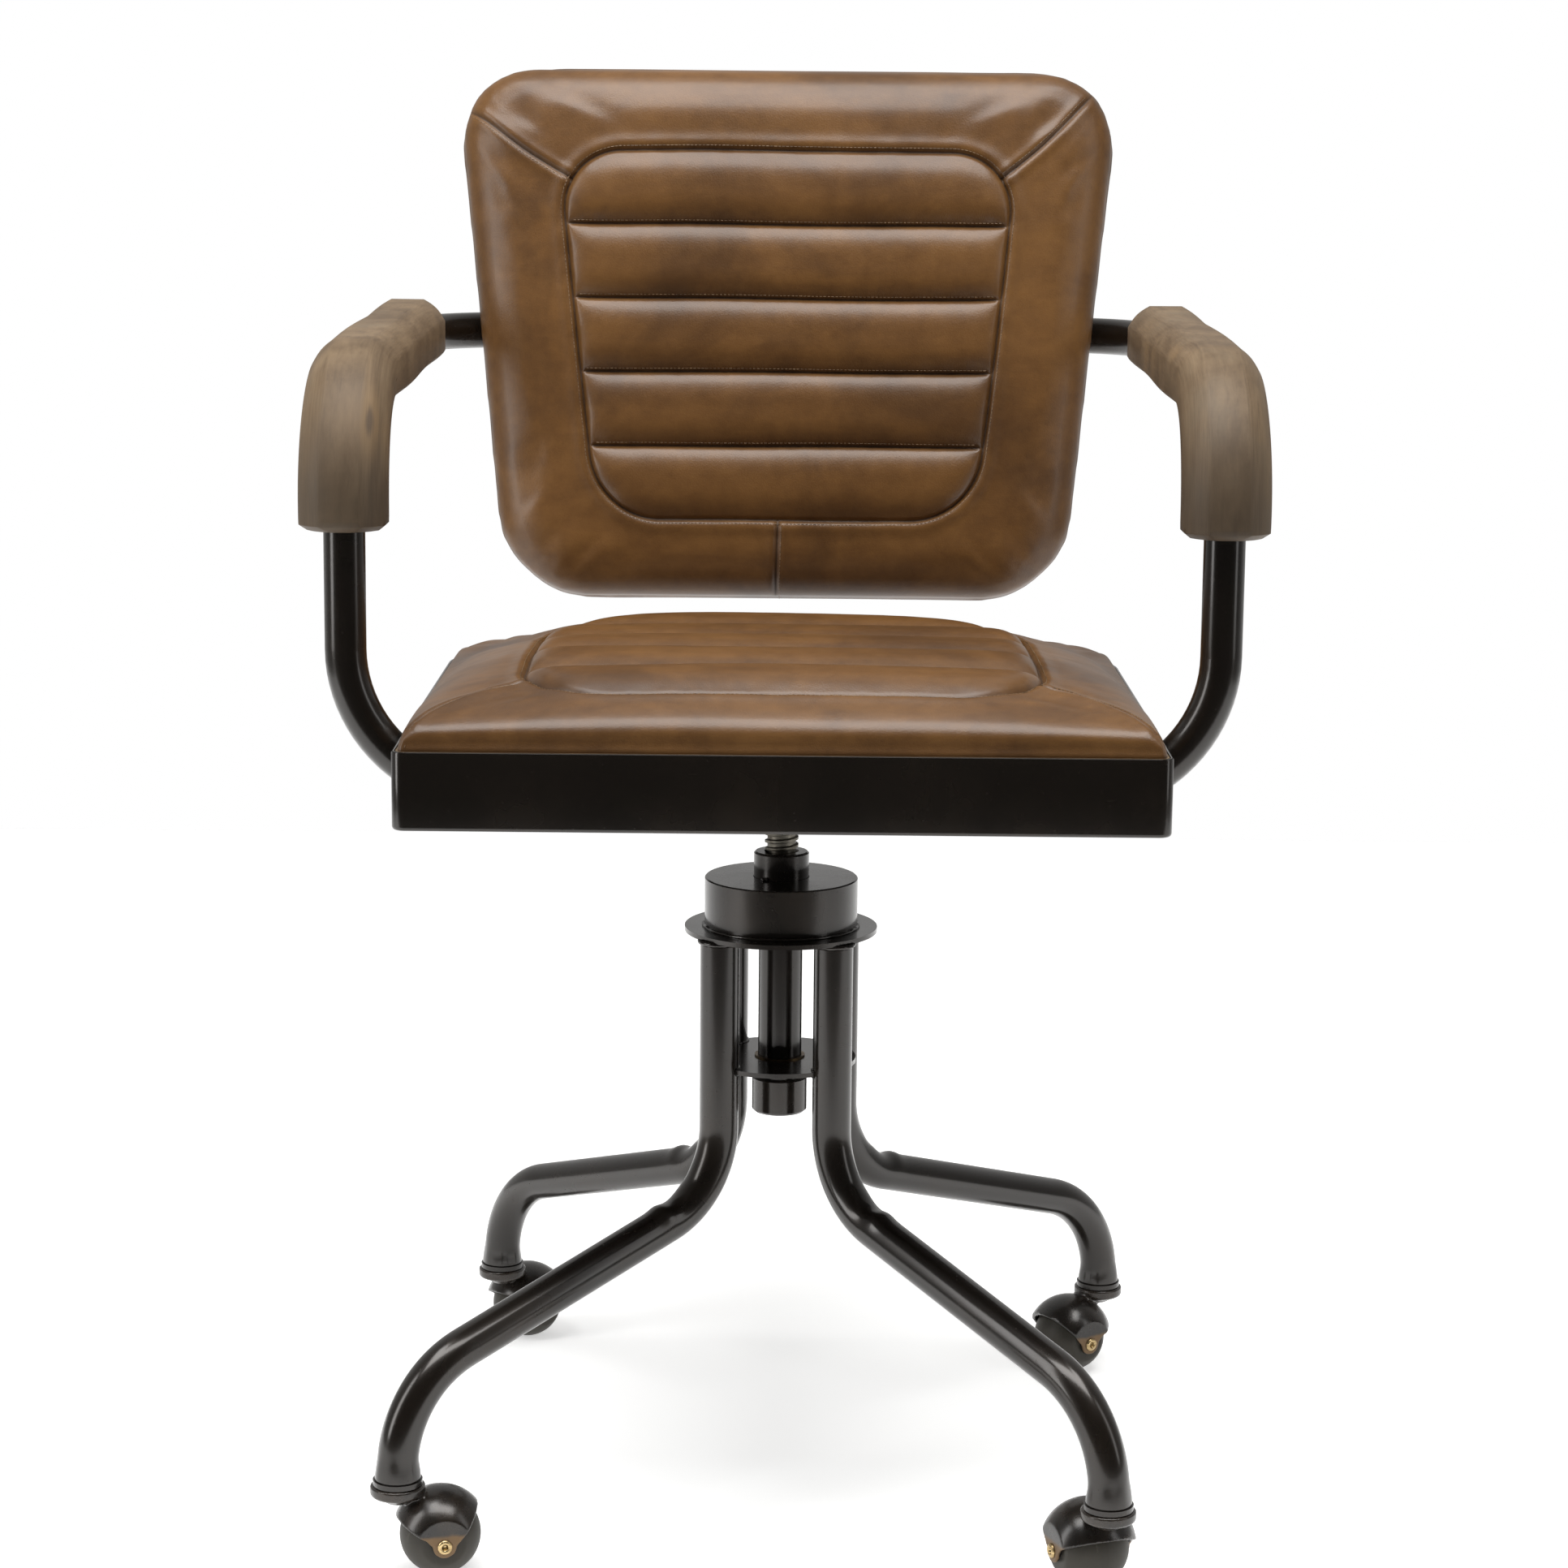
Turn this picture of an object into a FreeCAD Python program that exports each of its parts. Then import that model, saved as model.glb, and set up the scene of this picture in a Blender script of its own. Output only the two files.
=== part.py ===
import FreeCAD, Part
import math
import os
import re
import Sketcher

# A bankers swivel chair: a four-legged tube base on ball casters, a lifting screw in a
# turning nut, and a padded seat and back carried by a steel pan and a bent arm tube.
# The origin is on the floor under the swivel axis, the sitter faces -Y, and Z is up.

doc = FreeCAD.newDocument("bankers_chair")
sheet = doc.addObject("Spreadsheet::Sheet", "Sizes")

# Driving dimensions in millimetres and degrees
SIZES = {
    # tube stock of the legs and the arm frame
    "tube_od": 25.4,
    "tube_wall": 2.0,
    "base_turn": -4.0,
    "leg_start": 52.0,
    "leg_reach": 308.0,
    "leg_foot": 62.0,
    "knee_height": 196.4,
    "ankle_height": 119.6,
    "knee_bend": 60.0,
    "ankle_bend": 70.0,
    # flange, drum and lid
    "flange_radius": 63.0,
    "flange_low": 365.0,
    "flange_thick": 3.0,
    "flange_bore": 18.5,
    "drum_radius": 50.0,
    "drum_wall": 5.0,
    "drum_tall": 28.5,
    "lid_thick": 4.0,
    "lid_bevel": 0.8,
    # thrust bearing
    "race_inner": 20.5,
    "race_outer": 31.5,
    "race_thick": 8.8,
    "upper_race_thick": 4.4,
    "ball_radius": 4.0,
    "ball_pitch": 26.0,
    "ball_count": 14,
    "ball_play": 0.08,
    "race_split": 4.4,
    "cage_thick": 2.6,
    "cage_play": 0.3,
    # spider plate, its bush and the lock ring
    "spider_radius": 50.0,
    "spider_low": 277.0,
    "spider_thick": 3.0,
    "bush_outer": 16.5,
    "bush_lip": 1.0,
    "bush_play": 0.08,
    "ring_radius": 15.8,
    "ring_play": 0.4,
    "notch_wide": 4.0,
    "notch_deep": 4.0,
    # nut, column and cap
    "collar_radius": 18.0,
    "collar_rise": 17.0,
    "collar_bevel": 1.2,
    "lid_play": 0.4,
    "shoulder_radius": 32.0,
    "shoulder_thick": 6.0,
    "nut_low": 366.0,
    "nut_pocket": 12.0,
    "nut_play": 0.3,
    "column_radius": 14.3,
    "column_wall": 2.5,
    "cap_radius": 18.0,
    "cap_low": 243.0,
    "cap_tall": 24.0,
    "cap_floor": 4.0,
    "cap_bevel": 1.5,
    # spindle, guide shoe and its nut
    "spindle_radius": 11.0,
    "thread_root": 9.3,
    "thread_pitch": 5.0,
    "thread_low": 341.5,
    "journal_radius": 6.0,
    "journal_low": 315.0,
    "journal_play": 0.05,
    "shoe_tall": 18.0,
    "shoe_play": 0.1,
    "nut_flats": 16.0,
    "nut_tall": 5.5,
    # head plate, rails and bolts
    "pan_low": 472.0,
    "plate_wide": 150.0,
    "plate_deep": 150.0,
    "plate_thick": 6.0,
    "boss_radius": 20.0,
    "boss_tall": 12.0,
    "rail_wide": 40.0,
    "rail_thick": 8.0,
    "bolt_spacing": 110.0,
    "bolt_radius": 4.0,
    "bolt_flats": 13.0,
    "bolt_head": 5.3,
    "hole_play": 0.3,
    # seat pan and board
    "pan_half": 230.0,
    "pan_front": -228.0,
    "pan_back": 217.0,
    "pan_tall": 47.0,
    "pan_wall": 2.0,
    "pan_front_corner": 8.0,
    "pan_back_corner": 72.0,
    "deck_thick": 2.0,
    "board_thick": 12.0,
    "board_play": 0.5,
    "screw_radius": 2.0,
    "screw_head": 4.0,
    "screw_spacing": 320.0,
    # seat cushion, heights above the pan's top edge
    "cushion_play": 0.3,
    "seat_inset": 2.5,
    "seat_front_corner": 14.0,
    "seat_front_rise": 30.0,
    "seat_crown_rise": 35.5,
    "seat_crown_place": -60.0,
    "seat_back_rise": 25.0,
    "seat_side_rise": 29.0,
    "seat_middle_rise": 42.0,
    "seat_front_roll": 24.0,
    "seat_side_roll": 22.0,
    "seat_back_roll": 20.0,
    "seat_bend": 1500.0,
    "seat_panel_half": 158.0,
    "seat_panel_front": -190.0,
    "seat_panel_back": 160.0,
    "seat_panel_corner": 62.0,
    "channel_count": 5,
    "channel_puff": 5.0,
    "channel_sunk": 0.8,
    # arm frame
    "arm_half": 267.0,
    "arm_front": -130.0,
    "arm_weld_drop": 24.0,
    "arm_weld_angle": 35.0,
    "arm_weld_bend": 87.0,
    "arm_rail_front": 724.0,
    "arm_rail_back": 737.0,
    "arm_back": 316.0,
    "arm_top_bend": 72.0,
    "arm_back_bend": 70.0,
    # wooden armrests
    "wood_wide": 52.0,
    "wood_above": 26.0,
    "wood_below": 13.5,
    "wood_bevel": 9.0,
    "wood_low_bevel": 5.0,
    "wood_foot": 640.0,
    "wood_tail_turn": 9.0,
    "wood_play": 0.1,
    "wood_screw_front": -20.0,
    "wood_screw_back": 160.0,
    "wood_screw_depth": 16.0,
    # backrest
    "recline": 8.0,
    "bracket_thick": 5.0,
    "bracket_half": 115.0,
    "bracket_wide": 50.0,
    "bracket_tall": 74.0,
    "back_bolt_gap": 54.0,
    "back_bolt_radius": 3.0,
    "back_bolt_flats": 10.0,
    "back_bolt_head": 4.0,
    "back_bolt_long": 17.0,
    "back_top": 185.0,
    "back_bottom": -194.5,
    "back_top_half": 239.6,
    "back_bottom_half": 200.9,
    "back_top_corner": 60.0,
    "back_bottom_corner": 58.0,
    "cover_inset": 9.0,
    "cover_thick": 3.0,
    "back_board_inset": 16.0,
    "back_board_thick": 11.0,
    "back_thick": 48.0,
    "back_crown": 3.0,
    "back_roll": 24.0,
    "back_rear_roll": 6.0,
    "back_panel_top": 122.0,
    "back_panel_bottom": -138.0,
    "back_panel_top_half": 162.0,
    "back_panel_bottom_half": 134.0,
    "back_panel_corner": 46.0,
    # casters
    "caster_trail": 26.0,
    "wheel_radius": 25.0,
    "wheel_half": 21.4,
    "hood_inner": 27.2,
    "hood_outer": 30.2,
    "ear_inner": 22.0,
    "ear_outer": 25.0,
    "ear_tip": 7.4,
    "ear_half": 11.0,
    "ear_shoulder": 4.0,
    "lip_reach": 22.0,
    "lip_height": 18.0,
    "heel_height": 12.5,
    "neck_drop": 12.0,
    "neck_radius": 17.0,
    "neck_tall": 5.5,
    "neck_root": 11.0,
    "stem_radius": 4.0,
    "stem_play": 0.05,
    "stem_sink": 3.0,
    "foot_play": 0.5,
    "socket_radius": 9.8,
    "socket_rim": 15.3,
    "socket_rim_tall": 3.2,
    "socket_tall": 16.0,
    "socket_roof": 2.0,
    "axle_radius": 3.0,
    "axle_play": 0.05,
    "axle_head": 4.6,
    "axle_head_tall": 1.2,
}
for row, (alias, size) in enumerate(SIZES.items(), start=1):
    sheet.set(f"A{row}", alias)
    sheet.set(f"B{row}", str(size))
    sheet.setAlias(f"B{row}", alias)
doc.recompute()

# Heights that follow from the driving dimensions
FLANGE_TOP = "flange_low + flange_thick"
LID_LOW = f"{FLANGE_TOP} + drum_tall"
LID_TOP = f"{LID_LOW} + lid_thick"
COLLAR_TOP = f"{LID_TOP} + collar_rise"
RACE_TOP = f"{FLANGE_TOP} + race_thick"
BALL_HEIGHT = f"{RACE_TOP} + race_split / 2"
UPPER_RACE_LOW = f"{RACE_TOP} + race_split"
SHOULDER_LOW = f"{UPPER_RACE_LOW} + upper_race_thick"
NUT_POCKET_TOP = "nut_low + nut_pocket"
CAP_TOP = "cap_low + cap_tall"
SPIDER_TOP = "spider_low + spider_thick"
DECK_TOP = "pan_low + pan_tall - board_thick"
DECK_LOW = f"{DECK_TOP} - deck_thick"
RAIL_LOW = f"{DECK_LOW} - rail_thick"
PLATE_LOW = f"{RAIL_LOW} - plate_thick"
PAN_TOP = "pan_low + pan_tall"
SOCKET_LOW = "leg_foot - socket_rim_tall"
SOCKET_BORE_TOP = "leg_foot + socket_tall - socket_roof"
NECK_TOP = f"{SOCKET_LOW} - foot_play"
NECK_LOW = f"{NECK_TOP} - neck_tall"
BUSH_LOW = "spider_low - bush_lip"


# Working with the sheet: bound() turns the names of sizes in a formula into references
WORD = re.compile(r"[a-z][a-z_0-9]*")


def bound(formula):
    return WORD.sub(lambda word: ("Sizes." if word.group() in SIZES else "") + word.group(), formula)


def size(formula):
    return float(sheet.evalExpression(bound(formula)))


def bind(item, **formulas):
    for name, formula in formulas.items():
        item.setExpression(name.replace("__", "."), bound(formula))
    return item


def place(item, x="0", y="0", z="0"):
    return bind(item, Placement__Base__x=x, Placement__Base__y=y, Placement__Base__z=z)


parts = []


def keep(item, label):
    """Make an object one of the chair's sub-parts, under the name of its file"""
    item.Label = label
    parts.append(item)
    return item


# Simple solids and how they are put together
def cylinder(radius, low, high, x="0", y="0"):
    item = doc.addObject("Part::Cylinder", "cylinder")
    bind(item, Radius=radius, Height=f"({high}) - ({low})")
    return place(item, x, y, low)


def cross_cylinder(radius, half, x, z):
    """A cylinder along Y, centred on Y = 0"""
    item = doc.addObject("Part::Cylinder", "cross_cylinder")
    bind(item, Radius=radius, Height=f"2 * ({half})")
    item.Placement.Rotation = FreeCAD.Rotation(FreeCAD.Vector(1, 0, 0), -90)
    return place(item, x, f"-({half})", z)


def block(low, high):
    """A box between two corners"""
    item = doc.addObject("Part::Box", "block")
    spans = [f"({top}) - ({bottom})" for bottom, top in zip(low, high)]
    bind(item, Length=spans[0], Width=spans[1], Height=spans[2])
    return place(item, *low)


def sphere(radius, x, y, z):
    item = doc.addObject("Part::Sphere", "sphere")
    bind(item, Radius=radius)
    return place(item, x, y, z)


def hexagon(flats, low, high, x="0", y="0"):
    item = doc.addObject("Part::Prism", "hexagon")
    item.Polygon = 6
    bind(item, Circumradius=f"({flats}) / sqrt(3)", Height=f"({high}) - ({low})")
    return place(item, x, y, low)


def cut(base, tool):
    item = doc.addObject("Part::Cut", "cut")
    item.Base = base
    item.Tool = tool
    return item


def common(base, tool):
    item = doc.addObject("Part::Common", "common")
    item.Base = base
    item.Tool = tool
    return item


def fuse(*shapes):
    item = doc.addObject("Part::MultiFuse", "fuse")
    item.Shapes = list(shapes)
    return item


def group(shapes):
    item = doc.addObject("Part::Compound", "group")
    item.Links = list(shapes)
    return item


# Sketches on a body's own planes
def sketch_on(body, role, lift="0"):
    sketch = body.newObject("Sketcher::SketchObject", "sketch")
    plane = next(item for item in body.Origin.OriginFeatures if item.Role == role)
    sketch.AttachmentSupport = [(plane, "")]
    sketch.MapMode = "FlatFace"
    bind(sketch, AttachmentOffset__Base__z=lift)
    return sketch


def add_dimension(sketch, kind, formula, *where):
    """A named dimension that follows the sheet; a zero one becomes a point on an axis"""
    if formula == "0":
        axis = -2 if kind == "DistanceX" else -1
        sketch.addConstraint(Sketcher.Constraint("PointOnObject", where[-2], where[-1], axis))
        return
    index = sketch.addConstraint(Sketcher.Constraint(kind, *where, size(formula)))
    name = f"size_{index}"
    sketch.renameConstraint(index, name)
    sketch.setExpression(f"Constraints.{name}", bound(formula))


def draw_polygon(sketch, corners):
    points = [FreeCAD.Vector(size(x), size(y), 0) for x, y in corners]
    count = len(points)
    lines = [sketch.addGeometry(Part.LineSegment(points[i], points[(i + 1) % count]))
             for i in range(count)]
    for i, line in enumerate(lines):
        sketch.addConstraint(Sketcher.Constraint("Coincident", line, 2, lines[(i + 1) % count], 1))
    for line, (x, y) in zip(lines, corners):
        add_dimension(sketch, "DistanceX", x, -1, 1, line, 1)
        add_dimension(sketch, "DistanceY", y, -1, 1, line, 1)


def draw_circle(sketch, radius, x="0", y="0"):
    centre = FreeCAD.Vector(size(x), size(y), 0)
    circle = sketch.addGeometry(Part.Circle(centre, FreeCAD.Vector(0, 0, 1), size(radius)))
    add_dimension(sketch, "DistanceX", x, -1, 1, circle, 3)
    add_dimension(sketch, "DistanceY", y, -1, 1, circle, 3)
    add_dimension(sketch, "Radius", radius, circle)


def draw_tray(sketch, inset):
    """The seat pan's plan: tight corners at the front, wide ones at the back"""
    half, front, back = f"pan_half - ({inset})", f"pan_front + ({inset})", f"pan_back - ({inset})"
    tight, wide = f"pan_front_corner - ({inset})", f"pan_back_corner - ({inset})"
    right, near, far = size(half), size(front), size(back)
    small, large = size(tight), size(wide)
    sides = [((small - right, near), (right - small, near)),
             ((right, near + small), (right, far - large)),
             ((right - large, far), (large - right, far)),
             ((-right, far - large), (-right, near + small))]
    corners = [(right - small, near + small, small, -90), (right - large, far - large, large, 0),
               (large - right, far - large, large, 90), (small - right, near + small, small, 180)]
    geometry = []
    for (start, end), (x, y, radius, angle) in zip(sides, corners):
        line = Part.LineSegment(FreeCAD.Vector(*start), FreeCAD.Vector(*end))
        circle = Part.Circle(FreeCAD.Vector(x, y), FreeCAD.Vector(0, 0, 1), radius)
        first = math.radians(angle)
        geometry.append(sketch.addGeometry(line))
        geometry.append(sketch.addGeometry(Part.ArcOfCircle(circle, first, first + math.pi / 2)))
    for i, item in enumerate(geometry):
        follower = geometry[(i + 1) % len(geometry)]
        sketch.addConstraint(Sketcher.Constraint("Tangent", item, 2, follower, 1))
    for index, direction in ((0, "Horizontal"), (2, "Vertical"), (4, "Horizontal"), (6, "Vertical")):
        sketch.addConstraint(Sketcher.Constraint(direction, geometry[index]))
    add_dimension(sketch, "DistanceY", front, -1, 1, geometry[0], 1)
    add_dimension(sketch, "DistanceX", half, -1, 1, geometry[2], 1)
    add_dimension(sketch, "DistanceY", back, -1, 1, geometry[4], 1)
    add_dimension(sketch, "DistanceX", f"-({half})", -1, 1, geometry[6], 1)
    for index, radius in ((1, tight), (3, wide), (5, wide), (7, tight)):
        add_dimension(sketch, "Radius", radius, geometry[index])


def pad(body, sketch, length, both_ways=False):
    feature = body.newObject("PartDesign::Pad", "pad")
    feature.Profile = sketch
    feature.Midplane = both_ways
    bind(feature, Length=length)
    sketch.Visibility = False
    return feature


def pocket(body, sketch, length):
    """Cut upwards from the sketch"""
    feature = body.newObject("PartDesign::Pocket", "pocket")
    feature.Profile = sketch
    feature.Reversed = True
    bind(feature, Length=length)
    sketch.Visibility = False
    return feature


def around(body, feature, count):
    pattern = body.newObject("PartDesign::PolarPattern", "pattern")
    pattern.Originals = [feature]
    axis = next(item for item in body.Origin.OriginFeatures if item.Role == "Z_Axis")
    pattern.Axis = (axis, [""])
    pattern.Angle = 360
    pattern.Occurrences = count
    body.Tip = pattern
    return pattern


def turned(profile):
    """A lathe piece round Z: corners of (radius, height)"""
    body = doc.addObject("PartDesign::Body", "turned")
    sketch = sketch_on(body, "XZ_Plane")
    draw_polygon(sketch, profile)
    feature = body.newObject("PartDesign::Revolution", "revolution")
    feature.Profile = sketch
    feature.ReferenceAxis = (sketch, ["V_Axis"])
    feature.Angle = 360
    sketch.Visibility = False
    return body


def ring(outer, inner, low, high):
    return turned([(inner, low), (outer, low), (outer, high), (inner, high)])


def stand_at(item, radius, bearing, angle=None):
    """Put a piece at a radius and bearing round the swivel axis, turned to an angle"""
    way = math.radians(bearing)
    spot = FreeCAD.Vector(radius * math.cos(way), radius * math.sin(way), 0)
    turn = FreeCAD.Rotation(FreeCAD.Vector(0, 0, 1), bearing if angle is None else angle)
    item.Placement = FreeCAD.Placement(spot, turn)
    return item


# Base: flange plate, drum and lid, welded one on the other
keep(ring("flange_radius", "flange_bore", "flange_low", FLANGE_TOP), "flange_plate")
keep(ring("drum_radius", "drum_radius - drum_wall", FLANGE_TOP, LID_LOW), "hub_drum")
keep(turned([("collar_radius + lid_play", LID_LOW), ("drum_radius", LID_LOW),
             ("drum_radius", f"{LID_TOP} - lid_bevel"), ("drum_radius - lid_bevel", LID_TOP),
             ("collar_radius + lid_play", LID_TOP)]), "drum_lid")


# Thrust bearing: two grooved races with a ring of balls in a cage between them
def groove():
    item = doc.addObject("Part::Torus", "groove")
    bind(item, Radius1="ball_pitch", Radius2="ball_radius + ball_play")
    return place(item, z=BALL_HEIGHT)


def round_the_race(make):
    """Repeat a piece at the place of each ball"""
    count = int(size("ball_count"))
    ways = [f"{360 * index / count}" for index in range(count)]
    return group([make(f"ball_pitch * cos({way})", f"ball_pitch * sin({way})") for way in ways])


lower_race = cut(cylinder("race_outer", FLANGE_TOP, RACE_TOP),
                 cylinder("race_inner", FLANGE_TOP, RACE_TOP))
keep(cut(lower_race, groove()), "lower_race")
upper_race = cut(cylinder("race_outer", UPPER_RACE_LOW, SHOULDER_LOW),
                 cylinder("collar_radius", UPPER_RACE_LOW, SHOULDER_LOW))
keep(cut(upper_race, groove()), "upper_race")
keep(round_the_race(lambda x, y: sphere("ball_radius", x, y, BALL_HEIGHT)), "bearing_balls")
CAGE = f"{BALL_HEIGHT} - cage_thick / 2", f"{BALL_HEIGHT} + cage_thick / 2"
cage_ring = cut(cylinder("race_outer - cage_play", *CAGE), cylinder("race_inner + cage_play", *CAGE))
pockets = round_the_race(lambda x, y: cylinder("ball_radius + cage_play", *CAGE, x, y))
keep(cut(cage_ring, pockets), "ball_cage")


# Legs: one bent tube each, straight down beside the column, out, and down to the caster
def bent_leg():
    body = doc.addObject("PartDesign::Body", "leg")
    line = sketch_on(body, "XZ_Plane")
    start, reach = size("leg_start"), size("leg_reach")
    knee, ankle = size("knee_height"), size("ankle_height")
    top, foot = size("flange_low"), size("leg_foot")
    knee_bend, ankle_bend = size("knee_bend"), size("ankle_bend")
    slope = math.atan2(knee - ankle, reach - start)
    setback = math.tan((math.pi / 2 - slope) / 2)
    knee_reach, ankle_reach = knee_bend * setback, ankle_bend * setback
    along = FreeCAD.Vector(math.cos(slope), -math.sin(slope), 0)
    run_start = FreeCAD.Vector(start, knee, 0) + along * knee_reach
    run_end = FreeCAD.Vector(reach, ankle, 0) - along * ankle_reach
    up = FreeCAD.Vector(0, 0, 1)
    knee_circle = Part.Circle(FreeCAD.Vector(start + knee_bend, knee + knee_reach, 0), up, knee_bend)
    ankle_circle = Part.Circle(FreeCAD.Vector(reach - ankle_bend, ankle - ankle_reach, 0), up, ankle_bend)
    turn = math.pi / 2 - slope
    upright = line.addGeometry(Part.LineSegment(FreeCAD.Vector(start, top, 0),
                                                FreeCAD.Vector(start, knee + knee_reach, 0)))
    knee_arc = line.addGeometry(Part.ArcOfCircle(knee_circle, math.pi, math.pi + turn))
    run = line.addGeometry(Part.LineSegment(run_start, run_end))
    ankle_arc = line.addGeometry(Part.ArcOfCircle(ankle_circle, 0, turn))
    shin = line.addGeometry(Part.LineSegment(FreeCAD.Vector(reach, ankle - ankle_reach, 0),
                                             FreeCAD.Vector(reach, foot, 0)))
    for joint in ((upright, 2, knee_arc, 1), (knee_arc, 2, run, 1), (run, 2, ankle_arc, 2),
                  (ankle_arc, 1, shin, 1)):
        line.addConstraint(Sketcher.Constraint("Tangent", *joint))
    line.addConstraint(Sketcher.Constraint("Vertical", upright))
    line.addConstraint(Sketcher.Constraint("Vertical", shin))
    add_dimension(line, "DistanceX", "leg_start", -1, 1, upright, 1)
    add_dimension(line, "DistanceY", "flange_low", -1, 1, upright, 1)
    add_dimension(line, "DistanceX", "leg_reach", -1, 1, shin, 2)
    add_dimension(line, "DistanceY", "leg_foot", -1, 1, shin, 2)
    add_dimension(line, "Radius", "knee_bend", knee_arc)
    add_dimension(line, "Radius", "ankle_bend", ankle_arc)
    for post, height, spot in ((upright, "knee_height", (start, knee)),
                               (shin, "ankle_height", (reach, ankle))):
        point = line.addGeometry(Part.Point(FreeCAD.Vector(*spot, 0)), True)
        line.addConstraint(Sketcher.Constraint("PointOnObject", point, 1, post))
        line.addConstraint(Sketcher.Constraint("PointOnObject", point, 1, run))
        add_dimension(line, "DistanceY", height, -1, 1, point, 1)
    section = sketch_on(body, "XY_Plane", "leg_foot")
    draw_circle(section, "tube_od / 2", "leg_reach")
    draw_circle(section, "tube_od / 2 - tube_wall", "leg_reach")
    doc.recompute()
    pipe = body.newObject("PartDesign::AdditivePipe", "pipe")
    pipe.Profile = section
    pipe.Spine = (line, [f"Edge{number}" for number in range(1, 6)])
    line.Visibility = False
    section.Visibility = False
    return body


# The sitter faces -Y, so the sitter's left is at +X
CORNERS = {"back_left": 45, "back_right": 135, "front_right": 225, "front_left": 315}
TRAILS = {"back_left": 215, "back_right": 50, "front_right": 12, "front_left": 111}
for corner, bearing in CORNERS.items():
    keep(stand_at(bent_leg(), 0, bearing + size("base_turn")), f"leg_{corner}")

# Stem sockets: one in each leg's foot, its rim a little wider than the tube
sockets = []
for bearing in CORNERS.values():
    socket = turned([("0", SOCKET_BORE_TOP), ("stem_radius + stem_play", SOCKET_BORE_TOP),
                     ("stem_radius + stem_play", SOCKET_LOW), ("socket_rim", SOCKET_LOW),
                     ("socket_rim", "leg_foot"), ("socket_radius", "leg_foot"),
                     ("socket_radius", SOCKET_BORE_TOP),
                     ("socket_radius - socket_roof", f"{SOCKET_BORE_TOP} + socket_roof"),
                     ("0", f"{SOCKET_BORE_TOP} + socket_roof")])
    sockets.append(stand_at(group([place(socket, "leg_reach")]), 0, bearing + size("base_turn")))
keep(group(sockets), "stem_sockets")

# Spider plate: a disc coped round the four legs, with a bush for the column tube
spider = doc.addObject("PartDesign::Body", "spider")
disc = sketch_on(spider, "XY_Plane", "spider_low")
draw_circle(disc, "spider_radius")
draw_circle(disc, "bush_outer")
pad(spider, disc, "spider_thick")
cope = sketch_on(spider, "XY_Plane", "spider_low")
draw_circle(cope, "tube_od / 2", "leg_start")
doc.recompute()
around(spider, pocket(spider, cope, "spider_thick"), 4)
keep(stand_at(spider, 0, 45 + size("base_turn")), "spider_plate")
keep(ring("bush_outer", "column_radius + bush_play", BUSH_LOW, f"{SPIDER_TOP} + bush_lip"),
     "guide_bushing")

# Turning nut with its shoulder on the bearing, the column tube pressed in from below
keep(turned([("spindle_radius + nut_play", NUT_POCKET_TOP), ("column_radius", NUT_POCKET_TOP),
             ("column_radius", "nut_low"), ("collar_radius", "nut_low"),
             ("collar_radius", SHOULDER_LOW), ("shoulder_radius", SHOULDER_LOW),
             ("shoulder_radius", f"{SHOULDER_LOW} + shoulder_thick"),
             ("collar_radius", f"{SHOULDER_LOW} + shoulder_thick"),
             ("collar_radius", f"{COLLAR_TOP} - collar_bevel"),
             ("collar_radius - collar_bevel", COLLAR_TOP),
             ("spindle_radius + nut_play", COLLAR_TOP)]), "nut_collar")
keep(ring("column_radius", "column_radius - column_wall", "cap_low + cap_floor", NUT_POCKET_TOP),
     "column_tube")
keep(turned([("0", "cap_low"), ("cap_radius - cap_bevel", "cap_low"),
             ("cap_radius", "cap_low + cap_bevel"), ("cap_radius", f"{CAP_TOP} - cap_bevel"),
             ("cap_radius - cap_bevel", CAP_TOP), ("column_radius", CAP_TOP),
             ("column_radius", "cap_low + cap_floor"), ("0", "cap_low + cap_floor")]), "end_cap")
lock_ring = ring("ring_radius", "column_radius", CAP_TOP, f"{BUSH_LOW} - ring_play")
notch = sketch_on(lock_ring, "XY_Plane", f"{BUSH_LOW} - ring_play - notch_deep")
draw_polygon(notch, [("column_radius - notch_wide", "-notch_wide / 2"),
                     ("ring_radius + notch_wide", "-notch_wide / 2"),
                     ("ring_radius + notch_wide", "notch_wide / 2"),
                     ("column_radius - notch_wide", "notch_wide / 2")])
doc.recompute()
around(lock_ring, pocket(lock_ring, notch, "notch_deep"), 4)
keep(lock_ring, "lock_ring")

# Guide shoe on the spindle's lower journal, held by a nut
SHOE_TOP = "thread_low - cushion_play"
SHOE_LOW = f"{SHOE_TOP} - shoe_tall"
keep(ring("column_radius - column_wall - shoe_play", "journal_radius + journal_play",
          SHOE_LOW, SHOE_TOP), "guide_shoe")
JOURNAL_NUT = f"{SHOE_LOW} - journal_play - nut_tall", f"{SHOE_LOW} - journal_play"
keep(cut(hexagon("nut_flats", *JOURNAL_NUT), cylinder("journal_radius", *JOURNAL_NUT)), "journal_nut")


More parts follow.
